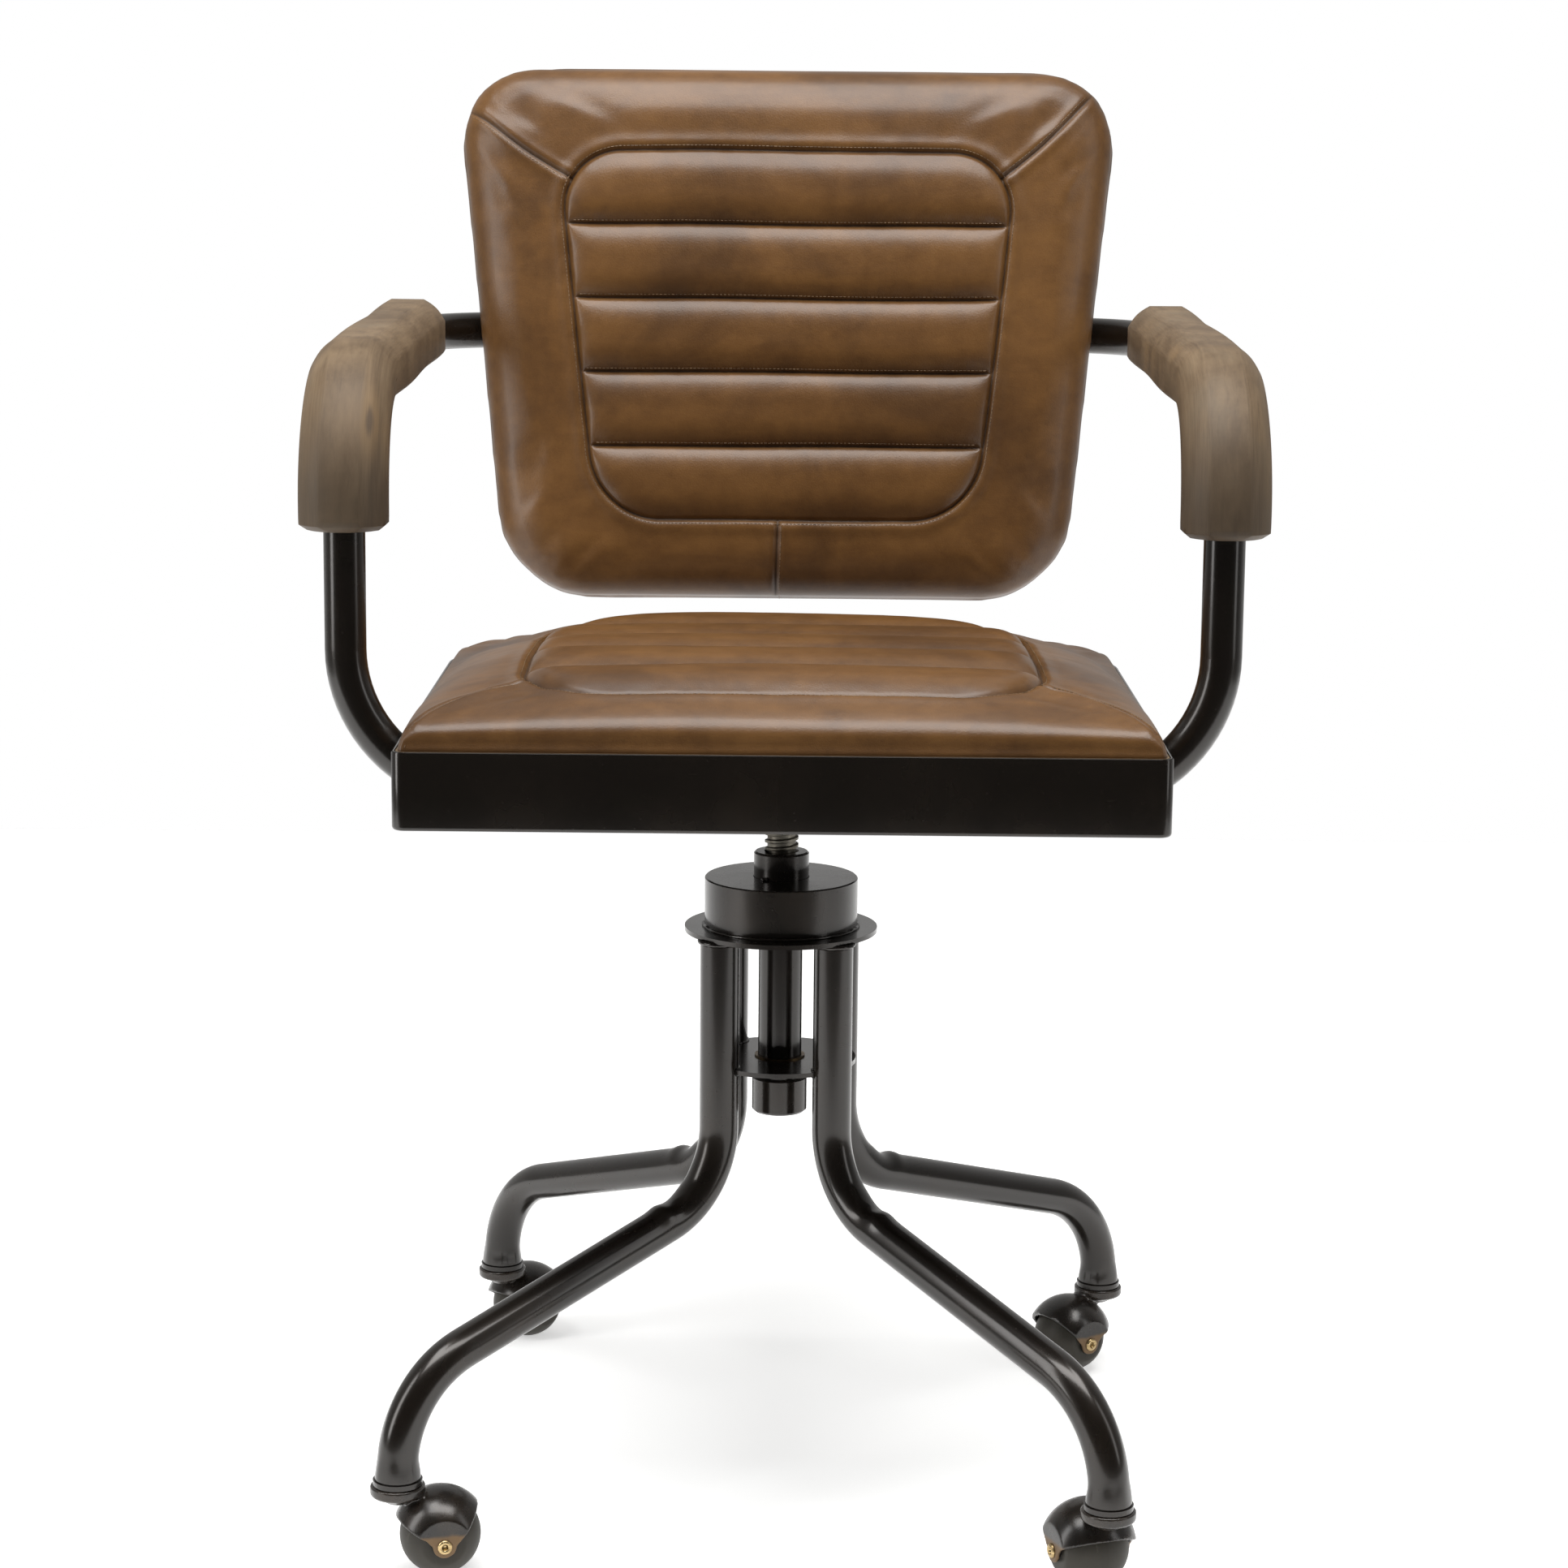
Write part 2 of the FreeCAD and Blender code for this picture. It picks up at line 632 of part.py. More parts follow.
def lifting_screw():
    """Core, lower journal and one helical ridge of trapezoid section"""
    core = size("thread_root")
    crest = size("spindle_radius")
    pitch = size("thread_pitch")
    low, high = size("thread_low"), size(RAIL_LOW)
    journal_low = size("journal_low")
    up = FreeCAD.Vector(0, 0, 1)
    screw = Part.makeCylinder(core, high - low, FreeCAD.Vector(0, 0, low))
    journal = Part.makeCylinder(size("journal_radius"), low - journal_low,
                                FreeCAD.Vector(0, 0, journal_low), up)
    ridge_top = size(f"{PLATE_LOW} - boss_tall") - pitch
    helix = Part.makeHelix(pitch, ridge_top - low - pitch, core)
    root_half, crest_half = 0.32 * pitch, 0.15 * pitch
    sunk = core - 0.3
    section = [(sunk, -root_half), (crest, -crest_half), (crest, crest_half), (sunk, root_half)]
    corners = [FreeCAD.Vector(radius, 0, height) for radius, height in section]
    outline = Part.makePolygon(corners + corners[:1])
    ridge = Part.Wire(helix.Edges).makePipeShell([outline], True, True)
    ridge.translate(FreeCAD.Vector(0, 0, low + pitch))
    return screw.fuse([journal, ridge])


def shaped(make, label, placement=None):
    """A sub-part whose shape comes from a function that reads the sheet"""
    item = doc.addObject("Part::Feature", label)
    item.Shape = make()
    if placement:
        item.Placement = placement
    return keep(item, label)


shaped(lifting_screw, "spindle")

# Head plate with the boss that the spindle is welded in, bolted up to two rails
head = doc.addObject("PartDesign::Body", "head")
plate = sketch_on(head, "XY_Plane", PLATE_LOW)
draw_polygon(plate, [("-plate_wide / 2", "-plate_deep / 2"), ("plate_wide / 2", "-plate_deep / 2"),
                     ("plate_wide / 2", "plate_deep / 2"), ("-plate_wide / 2", "plate_deep / 2")])
draw_circle(plate, "thread_root")
BOLT_SPOTS = [(f"{x}bolt_spacing / 2", f"{y}bolt_spacing / 2") for x in ("", "-") for y in ("", "-")]
for x, y in BOLT_SPOTS:
    draw_circle(plate, "bolt_radius + hole_play", x, y)
pad(head, plate, "plate_thick")
boss = sketch_on(head, "XY_Plane", f"{PLATE_LOW} - boss_tall")
draw_circle(boss, "boss_radius")
draw_circle(boss, "thread_root")
pad(head, boss, "boss_tall")
keep(head, "head_plate")

rails = []
for side in ("", "-"):
    centre = f"{side}bolt_spacing / 2"
    rail = block(("pan_wall - pan_half", f"{centre} - rail_wide / 2", RAIL_LOW),
                 ("pan_half - pan_wall", f"{centre} + rail_wide / 2", DECK_LOW))
    holes = group([cylinder("bolt_radius + hole_play", RAIL_LOW, DECK_LOW, x, centre)
                   for x in ("bolt_spacing / 2", "-bolt_spacing / 2")])
    rails.append(cut(rail, holes))
keep(group(rails), "cross_rails")
head_bolts = [fuse(hexagon("bolt_flats", f"{PLATE_LOW} - bolt_head", PLATE_LOW, x, y),
                   cylinder("bolt_radius", PLATE_LOW, DECK_LOW, x, y)) for x, y in BOLT_SPOTS]
keep(group(head_bolts), "head_bolts")

# Seat pan: a deck inside a folded skirt, with the plywood board dropped in on top
PAN_MIDDLE = "(pan_front + pan_back) / 2"
SCREW_SPOTS = [(f"{x}screw_spacing / 2", f"{PAN_MIDDLE} {y} screw_spacing / 2")
               for x in ("", "-") for y in ("+", "-")]
SCREW_TOP = f"{DECK_TOP} + board_thick * 0.75"
pan = doc.addObject("PartDesign::Body", "pan")
skirt = sketch_on(pan, "XY_Plane", "pan_low")
draw_tray(skirt, "0")
pad(pan, skirt, "pan_tall")
for low, deep in (("pan_low", f"{DECK_LOW} - pan_low"), (DECK_TOP, "board_thick")):
    hollow = sketch_on(pan, "XY_Plane", low)
    draw_tray(hollow, "pan_wall")
    doc.recompute()
    pocket(pan, hollow, deep)
holes = sketch_on(pan, "XY_Plane", DECK_LOW)
for x, y in SCREW_SPOTS:
    draw_circle(holes, "screw_radius + hole_play", x, y)
doc.recompute()
pocket(pan, holes, "deck_thick")
keep(pan, "seat_pan")

board = doc.addObject("PartDesign::Body", "board")
plywood = sketch_on(board, "XY_Plane", DECK_TOP)
draw_tray(plywood, "pan_wall + board_play")
pad(board, plywood, "board_thick")
pilots = sketch_on(board, "XY_Plane", DECK_TOP)
for x, y in SCREW_SPOTS:
    draw_circle(pilots, "screw_radius", x, y)
doc.recompute()
pocket(board, pilots, f"{SCREW_TOP} - ({DECK_TOP})")
keep(board, "seat_board")
seat_screws = [fuse(cylinder("screw_head", f"{DECK_LOW} - screw_head / 2", DECK_LOW, x, y),
                    cylinder("screw_radius", DECK_LOW, SCREW_TOP, x, y)) for x, y in SCREW_SPOTS]
keep(group(seat_screws), "seat_screws")


# Outlines of lines joined by tangent arcs, and the solids made from them
def rounded_edges(points, radii, closed=True):
    """Straight runs through the points, with one bend radius for each corner"""
    points = [FreeCAD.Vector(*point) for point in points]
    count = len(points)
    corners = range(count) if closed else range(1, count - 1)
    last = points[-1] if closed else points[0]
    bends = []
    for corner, radius in zip(corners, radii):
        here = points[corner]
        if not radius:
            bends.append((here, None, here))
            continue
        back = (points[corner - 1] - here).normalize()
        onward = (points[(corner + 1) % count] - here).normalize()
        half_turn = (math.pi - back.getAngle(onward)) / 2
        reach = radius * math.tan(half_turn)
        middle = here + (back + onward).normalize() * (radius / math.cos(half_turn) - radius)
        bends.append((here + back * reach, middle, here + onward * reach))
    edges = []
    last = bends[-1][2] if closed else points[0]
    for start, middle, end in bends:
        if (start - last).Length > 0.001:
            edges.append(Part.makeLine(last, start))
        if middle:
            edges.append(Part.Arc(start, middle, end).toShape())
        last = end
    if not closed:
        edges.append(Part.makeLine(last, points[-1]))
    return edges


def prism(edges, way):
    return Part.Face(Part.Wire(edges)).extrude(FreeCAD.Vector(*way))


def channel(start, end, puff, sunk, across):
    """One sewn channel: a puffed strip between two seam lines of a side view"""
    (y0, z0), (y1, z1) = start, end
    low = [FreeCAD.Vector(0, y0, z0 - 3 * puff), FreeCAD.Vector(0, y1, z1 - 3 * puff)]
    seams = [FreeCAD.Vector(0, y0, z0 - sunk), FreeCAD.Vector(0, y1, z1 - sunk)]
    rise = FreeCAD.Vector(0, z0 - z1, y1 - y0).normalize() * (puff + sunk)
    middle = (seams[0] + seams[1]) * 0.5 + rise
    edges = [Part.makeLine(low[1], low[0]), Part.makeLine(low[0], seams[0]),
             Part.Arc(seams[0], middle, seams[1]).toShape(), Part.makeLine(seams[1], low[1])]
    strip = prism(edges, (2 * across, 0, 0))
    strip.translate(FreeCAD.Vector(-across, 0, 0))
    return strip


# Seat cushion: one padded block, rolled at its edges, with the sewn channels on its top
def seat_padding():
    low, rim = size(f"{PAN_TOP} + cushion_play"), size(PAN_TOP)
    half = size("pan_half - seat_inset")
    front, back = size("pan_front + seat_inset"), size("pan_back - seat_inset")
    crown = size("seat_crown_place"), rim + size("seat_crown_rise")
    front_top, back_top = rim + size("seat_front_rise"), rim + size("seat_back_rise")
    side_top, middle_top = rim + size("seat_side_rise"), rim + size("seat_middle_rise")
    tight, wide = size("seat_front_corner"), size("pan_back_corner - seat_inset")
    bend = size("seat_bend")
    tall = size("seat_middle_rise") + 20
    plan = rounded_edges([(-half, front, low), (half, front, low), (half, back, low),
                          (-half, back, low)], [tight, tight, wide, wide])
    side_view = rounded_edges([(-half, front, low), (-half, front, front_top), (-half, *crown),
                               (-half, back, back_top), (-half, back, low)],
                              [0, size("seat_front_roll"), bend, size("seat_back_roll"), 0])
    roll = size("seat_side_roll")
    front_view = rounded_edges([(-half, front, low), (-half, front, side_top), (0, front, middle_top),
                                (half, front, side_top), (half, front, low)], [0, roll, bend, roll, 0])
    padding = prism(plan, (0, 0, tall)).common(prism(side_view, (2 * half, 0, 0)))
    padding = padding.common(prism(front_view, (0, back - front, 0)))

    def top(y):
        reach = (y - crown[0]) / ((front if y < crown[0] else back) - crown[0])
        return crown[1] + reach * ((front_top if y < crown[0] else back_top) - crown[1])

    panel_half = size("seat_panel_half")
    near, far = size("seat_panel_front"), size("seat_panel_back")
    count = int(size("channel_count"))
    seams = [near + (far - near) * index / count for index in range(count + 1)]
    puff, sunk = size("channel_puff"), size("channel_sunk")
    strips = [channel((y0, top(y0) - sunk), (y1, top(y1) - sunk), puff, sunk, panel_half)
              for y0, y1 in zip(seams, seams[1:])]
    panel = prism(rounded_edges([(-panel_half, near, low), (panel_half, near, low),
                                 (panel_half, far, low), (-panel_half, far, low)],
                                [size("seat_panel_corner")] * 4), (0, 0, tall))
    ends = prism(rounded_edges([(-panel_half, near, low), (-panel_half, near, front_top - sunk),
                                (tight - panel_half, near, middle_top),
                                (panel_half - tight, near, middle_top),
                                (panel_half, near, front_top - sunk), (panel_half, near, low)],
                               [0, 0, tight, tight, 0, 0]), (0, far - near, 0))
    quilt = strips[0].fuse(strips[1:]).common(panel).common(ends)
    return padding.fuse(quilt).removeSplitter()


shaped(seat_padding, "seat_cushion")


# Arm frame: one bent tube, welded to the pan's sides, round the arms and behind the back
def arm_line():
    """Centre line of the tube from the left weld to the right one, and its bend radii"""
    half, front, back = size("arm_half"), size("arm_front"), size("arm_back")
    weld = size("pan_half"), size(f"{PAN_TOP} - arm_weld_drop")
    rise = math.tan(math.radians(size("arm_weld_angle")))
    inside = size("tube_od") / 2
    left = [(weld[0] - inside, front, weld[1] - inside * rise),
            (half, front, weld[1] + (half - weld[0]) * rise),
            (half, front, size("arm_rail_front")), (half, back, size("arm_rail_back"))]
    right = [(-x, y, z) for x, y, z in reversed(left)]
    bends = [size("arm_weld_bend"), size("arm_top_bend"), size("arm_back_bend")]
    return left + right, bends + bends[::-1]


WOOD_SCREWS = ("wood_screw_front", "wood_screw_back")


def rail_height(y):
    low, high = size("arm_rail_front"), size("arm_rail_back")
    return low + (high - low) * (y - size("arm_front")) / size("arm_back - arm_front")


def upright(radius, x, y, low, high):
    return Part.makeCylinder(radius, high - low, FreeCAD.Vector(x, y, low))


def bent_tube():
    points, bends = arm_line()
    path = Part.Wire(rounded_edges(points, bends, closed=False))
    start = path.Edges[0]
    along = start.tangentAt(start.FirstParameter)
    solids = []
    for radius in (size("tube_od / 2"), size("tube_od / 2 - tube_wall")):
        circle = Part.makeCircle(radius, start.valueAt(start.FirstParameter), along)
        solids.append(path.makePipeShell([Part.Wire([circle])], True, False))
    tube = solids[0].cut(solids[1])
    half, deep = size("pan_half"), size("tube_od")
    low, high = size("pan_low - tube_od"), size(PAN_TOP)
    between = Part.makeBox(2 * half, 2 * deep, high - low,
                           FreeCAD.Vector(-half, size("arm_front") - deep, low))
    holes = [upright(size("screw_radius + hole_play"), side * size("arm_half"), size(spot),
                     rail_height(size(spot)) - deep, rail_height(size(spot)) + deep)
             for side in (1, -1) for spot in WOOD_SCREWS]
    return tube.cut([between] + holes)


shaped(bent_tube, "arm_frame_tube")


# Wooden armrests: a bevelled bar with the tube let into its underside
def armrest(side):
    points, bends = arm_line()
    edges = rounded_edges(points[1:5], bends[1:3], closed=False)
    front = size("arm_front")
    foot = FreeCAD.Vector(size("arm_half"), front, size("wood_foot"))
    upright_top = edges[0].valueAt(edges[0].LastParameter)
    rear_bend = edges[3]
    turn = math.radians(size("wood_tail_turn"))
    tail = Part.Edge(rear_bend.Curve, rear_bend.FirstParameter, rear_bend.FirstParameter + turn)
    path = Part.Wire([Part.makeLine(foot, upright_top), edges[1], edges[2], tail])
    wide, above, below = size("wood_wide") / 2, size("wood_above"), size("wood_below")
    bevel, low_bevel = size("wood_bevel"), size("wood_low_bevel")
    groove = size("tube_od / 2 + wood_play")
    section = [(-wide, low_bevel - below), (-wide, above - bevel), (bevel - wide, above),
               (wide - bevel, above), (wide, above - bevel), (wide, low_bevel - below),
               (wide - low_bevel, -below), (groove, -below)]
    corners = [foot + FreeCAD.Vector(across, -up, 0) for across, up in section]
    left_lip = foot + FreeCAD.Vector(-groove, below, 0)
    left_shoulder, crest, right_shoulder = [foot + FreeCAD.Vector(across, -up, 0)
                                            for across, up in ((-groove, 0), (0, groove), (groove, 0))]
    low_left = foot + FreeCAD.Vector(low_bevel - wide, below, 0)
    outline = [Part.makeLine(first, second) for first, second in zip(corners, corners[1:])]
    outline += [Part.makeLine(corners[-1], right_shoulder),
                Part.Arc(right_shoulder, crest, left_shoulder).toShape(),
                Part.makeLine(left_shoulder, left_lip), Part.makeLine(left_lip, low_left),
                Part.makeLine(low_left, corners[0])]
    wood = path.makePipeShell([Part.Wire(outline)], True, False)
    pilots = []
    for spot in WOOD_SCREWS:
        height = rail_height(size(spot))
        pilots.append(upright(size("screw_radius"), size("arm_half"), size(spot), height,
                              height + size("wood_screw_depth")))
    wood = wood.cut(pilots)
    if side < 0:
        wood = wood.mirror(FreeCAD.Vector(0, 0, 0), FreeCAD.Vector(1, 0, 0))
    return wood


shaped(lambda: armrest(1), "armrest_left")
shaped(lambda: armrest(-1), "armrest_right")


wood_screws = []
for side in ("", "-"):
    for spot in WOOD_SCREWS:
        slope = "(arm_rail_back - arm_rail_front) / (arm_back - arm_front)"
        rail = f"arm_rail_front + {slope} * ({spot} - arm_front)"
        seat = f"{rail} - tube_od / 2 - tube_wall / 4"
        wood_screws.append(fuse(
            cylinder("screw_head", f"{seat} - screw_head / 2", seat, f"{side}arm_half", spot),
            cylinder("screw_radius", seat, f"{rail} + wood_screw_depth", f"{side}arm_half", spot)))
keep(group(wood_screws), "armrest_screws")


# Backrest, drawn flat (x across, y up the back, z towards the sitter) and leaned on the tube
def lean(item):
    """Stand a flat-drawn piece of the backrest against its brackets"""
    tilt = math.radians(size("recline"))
    off = size("tube_od / 2 + bracket_thick")
    spot = FreeCAD.Vector(0, size("arm_back") - off * math.cos(tilt),
                          size("arm_rail_back") + off * math.sin(tilt))
    turn = FreeCAD.Rotation(FreeCAD.Vector(1, 0, 0), 90 - size("recline"))
    item.Placement = FreeCAD.Placement(spot, turn)
    return item


def back_outline(inset, height=0.0):
    top, bottom = size("back_top") - inset, size("back_bottom") + inset
    wide, narrow = size("back_top_half") - inset, size("back_bottom_half") - inset
    high, low = size("back_top_corner") - inset, size("back_bottom_corner") - inset
    return rounded_edges([(wide, top, height), (-wide, top, height), (-narrow, bottom, height),
                          (narrow, bottom, height)], [high, high, low, low])


BACK_BOLTS = [(f"{x}bracket_half", f"{y}back_bolt_gap / 2") for x in ("", "-") for y in ("", "-")]


def bolt_holes(low, high):
    return [upright(size("back_bolt_radius + hole_play"), size(x), size(y), low, high)
            for x, y in BACK_BOLTS]


def back_panel(inset, low, thick):
    panel = prism(back_outline(inset, low), (0, 0, thick))
    return panel.cut(bolt_holes(low, low + thick))


def back_padding():
    """The padded front: crowned, rolled at its edges and sewn in channels"""
    board_top = size("cover_thick + back_board_thick + cushion_play")
    low = size("cover_thick + cushion_play")
    crown = size("back_thick")
    half = size("back_top_half")
    bend = size("back_top") ** 2 / (2 * size("back_crown"))
    swell = Part.makeCylinder(bend, 2 * half, FreeCAD.Vector(-half, 0, crown - bend),
                              FreeCAD.Vector(1, 0, 0))
    padding = prism(back_outline(0, low), (0, 0, crown)).common(swell)
    front = [edge for edge in padding.Edges if edge.BoundBox.ZMin > crown / 2]
    padding = padding.makeFillet(size("back_roll"), front)
    rear = [edge for edge in padding.Edges if edge.BoundBox.ZMax < low + 0.01]
    padding = padding.makeFillet(size("back_rear_roll"), rear)
    top, bottom = size("back_panel_top"), size("back_panel_bottom")
    wide, narrow = size("back_panel_top_half"), size("back_panel_bottom_half")
    count = int(size("channel_count"))
    puff, sunk = size("channel_puff"), size("channel_sunk")
    seams = [bottom + (top - bottom) * index / count for index in range(count + 1)]
    heights = [crown - seam ** 2 / (2 * bend) - sunk for seam in seams]
    strips = [channel(start, end, puff, sunk, wide)
              for start, end in zip(zip(seams, heights), zip(seams[1:], heights[1:]))]
    panel = prism(rounded_edges([(wide, top, low), (-wide, top, low), (-narrow, bottom, low),
                                 (narrow, bottom, low)], [size("back_panel_corner")] * 4),
                  (0, 0, 2 * crown))
    quilt = strips[0].fuse(strips[1:]).common(panel)
    room = prism(back_outline(size("back_board_inset") - size("cushion_play"), low),
                 (0, 0, board_top - low))
    return padding.fuse(quilt).removeSplitter().cut(room)


brackets = []
for x in ("bracket_half", "-bracket_half"):
    plate = block((f"{x} - bracket_wide / 2", "-bracket_tall / 2", "-bracket_thick"),
                  (f"{x} + bracket_wide / 2", "bracket_tall / 2", "0"))
    holes = [cylinder("back_bolt_radius + hole_play", "-bracket_thick", "0", x, f"{y}back_bolt_gap / 2")
             for y in ("", "-")]
    brackets.append(cut(plate, group(holes)))
keep(lean(group(brackets)), "back_brackets")
back_bolts = [fuse(hexagon("back_bolt_flats", "-bracket_thick - back_bolt_head", "-bracket_thick", x, y),
                   cylinder("back_bolt_radius", "-bracket_thick", "back_bolt_long - bracket_thick", x, y))
              for x, y in BACK_BOLTS]
keep(lean(group(back_bolts)), "back_bolts")
lean(shaped(lambda: back_panel(size("cover_inset"), 0, size("cover_thick")), "back_cover"))
lean(shaped(lambda: back_panel(size("back_board_inset"), size("cover_thick"),
                               size("back_board_thick")), "back_board"))
lean(shaped(back_padding, "back_cushion"))


# Casters, each drawn round its stem with the ball trailing along +X
def hood():
    """Domed cover over the ball with an ear down each side, hung on a ring round the stem"""
    slab = block(("caster_trail - hood_outer", "-ear_outer", "0"),
                 ("caster_trail + hood_outer", "ear_outer", "2 * hood_outer"))
    hollow_slab = block(("caster_trail - hood_outer", "-ear_inner", "0"),
                        ("caster_trail + hood_outer", "ear_inner", "2 * hood_outer"))
    dome = common(sphere("hood_outer", "caster_trail", "0", "wheel_radius"), slab)
    hollow = common(sphere("hood_inner", "caster_trail", "0", "wheel_radius"), hollow_slab)
    profile = doc.addObject("PartDesign::Body", "profile")
    side = sketch_on(profile, "XZ_Plane")
    spots = [("-hood_outer - 1", "hood_outer + 1"), ("-hood_outer - 1", "heel_height"),
             ("-hood_inner", "heel_height"), ("-ear_half", "ear_shoulder"), ("-ear_tip", "0"),
             ("ear_tip", "0"), ("ear_half", "ear_shoulder"), ("lip_reach", "lip_height"),
             ("hood_outer + 1", "lip_height + 4"), ("hood_outer + 1", "hood_outer + 1")]
    draw_polygon(side, [(f"caster_trail + ({x})", f"wheel_radius + ({z})") for x, z in spots])
    pad(profile, side, "2 * hood_outer", both_ways=True)
    tips = cross_cylinder("ear_tip", "ear_outer", "caster_trail", "wheel_radius")
    cover = common(dome, fuse(profile, tips))
    neck = turned([("0", NECK_TOP), ("neck_radius", NECK_TOP), ("neck_radius", NECK_LOW),
                   ("neck_radius - 1", f"{NECK_LOW} - 1"), ("neck_root", f"{NECK_LOW} - neck_drop / 4"),
                   ("stem_radius + 3", f"{NECK_LOW} - neck_drop / 2"), ("0", f"{NECK_LOW} - neck_drop / 2")])
    bores = [cylinder("stem_radius", f"{NECK_LOW} - stem_sink", NECK_TOP),
             cross_cylinder("axle_radius", "ear_outer", "caster_trail", "wheel_radius")]
    return cut(cut(fuse(cover, neck), hollow), fuse(*bores))


def ball():
    wheel = sphere("wheel_radius", "caster_trail", "0", "wheel_radius")
    slab = block(("caster_trail - wheel_radius", "-wheel_half", "0"),
                 ("caster_trail + wheel_radius", "wheel_half", "2 * wheel_radius"))
    bore = cross_cylinder("axle_radius + axle_play", "wheel_radius", "caster_trail", "wheel_radius")
    return cut(common(wheel, slab), bore)


def axle():
    heads = [cross_cylinder("axle_head", "ear_outer + axle_head_tall", "caster_trail", "wheel_radius"),
             cross_cylinder("axle_head", "ear_outer", "caster_trail", "wheel_radius")]
    pin = cross_cylinder("axle_radius", "ear_outer + axle_head_tall / 2", "caster_trail", "wheel_radius")
    return fuse(cut(*heads), pin)


def stem():
    return cylinder("stem_radius", f"{NECK_LOW} - stem_sink", f"{SOCKET_BORE_TOP} - foot_play")


for corner, bearing in CORNERS.items():
    for make in (hood, stem, axle, ball):
        piece = stand_at(group([make()]), size("leg_reach"), bearing + size("base_turn"), TRAILS[corner])
        keep(piece, f"caster_{make.__name__}_{corner}")

# Every object and shape is checked before the files are written
doc.recompute()
for item in doc.Objects:
    if {"Invalid", "Error"} & set(item.State):
        raise ValueError(f"{item.Name} ({item.Label}) did not recompute")
for item in parts:
    if item.Shape.isNull() or not item.Shape.isValid():
        raise ValueError(f"{item.Label} has no valid shape")
os.makedirs("parts", exist_ok=True)
for item in parts:
    item.Shape.exportStep(f"parts/{item.Label}.step")
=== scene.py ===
import math

import bmesh
import bpy
from mathutils import Matrix, Vector, noise
from mathutils.bvhtree import BVHTree


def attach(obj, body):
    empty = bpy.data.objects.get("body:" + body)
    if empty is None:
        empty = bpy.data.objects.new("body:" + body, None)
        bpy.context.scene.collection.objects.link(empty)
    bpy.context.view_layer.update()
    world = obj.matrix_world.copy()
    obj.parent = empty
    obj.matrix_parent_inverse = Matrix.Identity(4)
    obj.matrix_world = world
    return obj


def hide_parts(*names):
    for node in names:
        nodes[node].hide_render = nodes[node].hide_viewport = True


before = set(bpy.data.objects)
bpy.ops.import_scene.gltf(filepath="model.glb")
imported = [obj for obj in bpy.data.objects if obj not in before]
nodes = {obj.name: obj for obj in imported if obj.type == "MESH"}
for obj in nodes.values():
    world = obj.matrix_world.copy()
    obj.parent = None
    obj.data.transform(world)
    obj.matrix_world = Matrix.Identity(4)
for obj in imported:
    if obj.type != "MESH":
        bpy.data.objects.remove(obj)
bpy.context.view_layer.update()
scene = bpy.context.scene

# Studio: a plain pale floor, white walls and large soft boxes; the side of the room behind the camera
# is dim. The camera stands at chest height in front of the chair and looks slightly down.
CAMERA_PLACE = (0.0, -2.3, 0.8742)
CAMERA_PITCH = math.radians(90 - 10.17)
CAMERA_ROLL = 0.0095
CAMERA_TURN = -0.0005
LENS_MM = 82.45
FLOOR_HALF = 2.2
FLOOR_FRONT = -1.1
camera_data = bpy.data.cameras.new("camera")
camera_data.lens = LENS_MM
camera_data.sensor_width = 36.0
camera = bpy.data.objects.new("camera", camera_data)
scene.collection.objects.link(camera)
turned = Matrix.Rotation(CAMERA_TURN, 4, "Z") @ Matrix.Rotation(CAMERA_PITCH, 4, "X")
camera.matrix_world = Matrix.Translation(CAMERA_PLACE) @ turned @ Matrix.Rotation(CAMERA_ROLL, 4, "Z")
scene.camera = camera
scene.view_settings.view_transform = "Standard"

floor_mesh = bpy.data.meshes.new("floor")
floor_mesh.from_pydata([(-FLOOR_HALF, FLOOR_FRONT, 0), (FLOOR_HALF, FLOOR_FRONT, 0),
                        (FLOOR_HALF, FLOOR_HALF, 0), (-FLOOR_HALF, FLOOR_HALF, 0)], [], [(0, 1, 2, 3)])
floor = bpy.data.objects.new("floor", floor_mesh)
scene.collection.objects.link(floor)
floor_paint = bpy.data.materials.new("floor_paint")
floor_paint.use_nodes = True
floor_shader = floor_paint.node_tree.nodes["Principled BSDF"]
floor_shader.inputs["Base Color"].default_value = (0.95, 0.95, 0.94, 1)
floor_shader.inputs["Roughness"].default_value = 0.9
floor_shader.inputs["Specular IOR Level"].default_value = 0.0
floor_shader.inputs["Emission Color"].default_value = (1, 1, 1, 1)
floor_shader.inputs["Emission Strength"].default_value = 0.5
floor_mesh.materials.append(floor_paint)

world = bpy.data.worlds.new("studio")
scene.world = world
world.use_nodes = True
room = world.node_tree
seen = room.nodes["Background"]
seen.inputs["Strength"].default_value = 1.0
seen.inputs["Color"].default_value = (1, 1, 1, 1)
walls = room.nodes.new("ShaderNodeBackground")
walls.inputs["Color"].default_value = (1.0, 0.99, 0.975, 1)
direction = room.nodes.new("ShaderNodeTexCoord")
parts = room.nodes.new("ShaderNodeSeparateXYZ")
depth = room.nodes.new("ShaderNodeMapRange")
depth.inputs["From Min"].default_value = -0.25
depth.inputs["From Max"].default_value = 0.55
depth.inputs["To Min"].default_value = 0.05
depth.inputs["To Max"].default_value = 0.5
rays = room.nodes.new("ShaderNodeLightPath")
either = room.nodes.new("ShaderNodeMixShader")
room.links.new(direction.outputs["Generated"], parts.inputs["Vector"])
room.links.new(parts.outputs["Y"], depth.inputs["Value"])
room.links.new(depth.outputs["Result"], walls.inputs["Strength"])
room.links.new(rays.outputs["Is Camera Ray"], either.inputs[0])
room.links.new(walls.outputs["Background"], either.inputs[1])
room.links.new(seen.outputs["Background"], either.inputs[2])
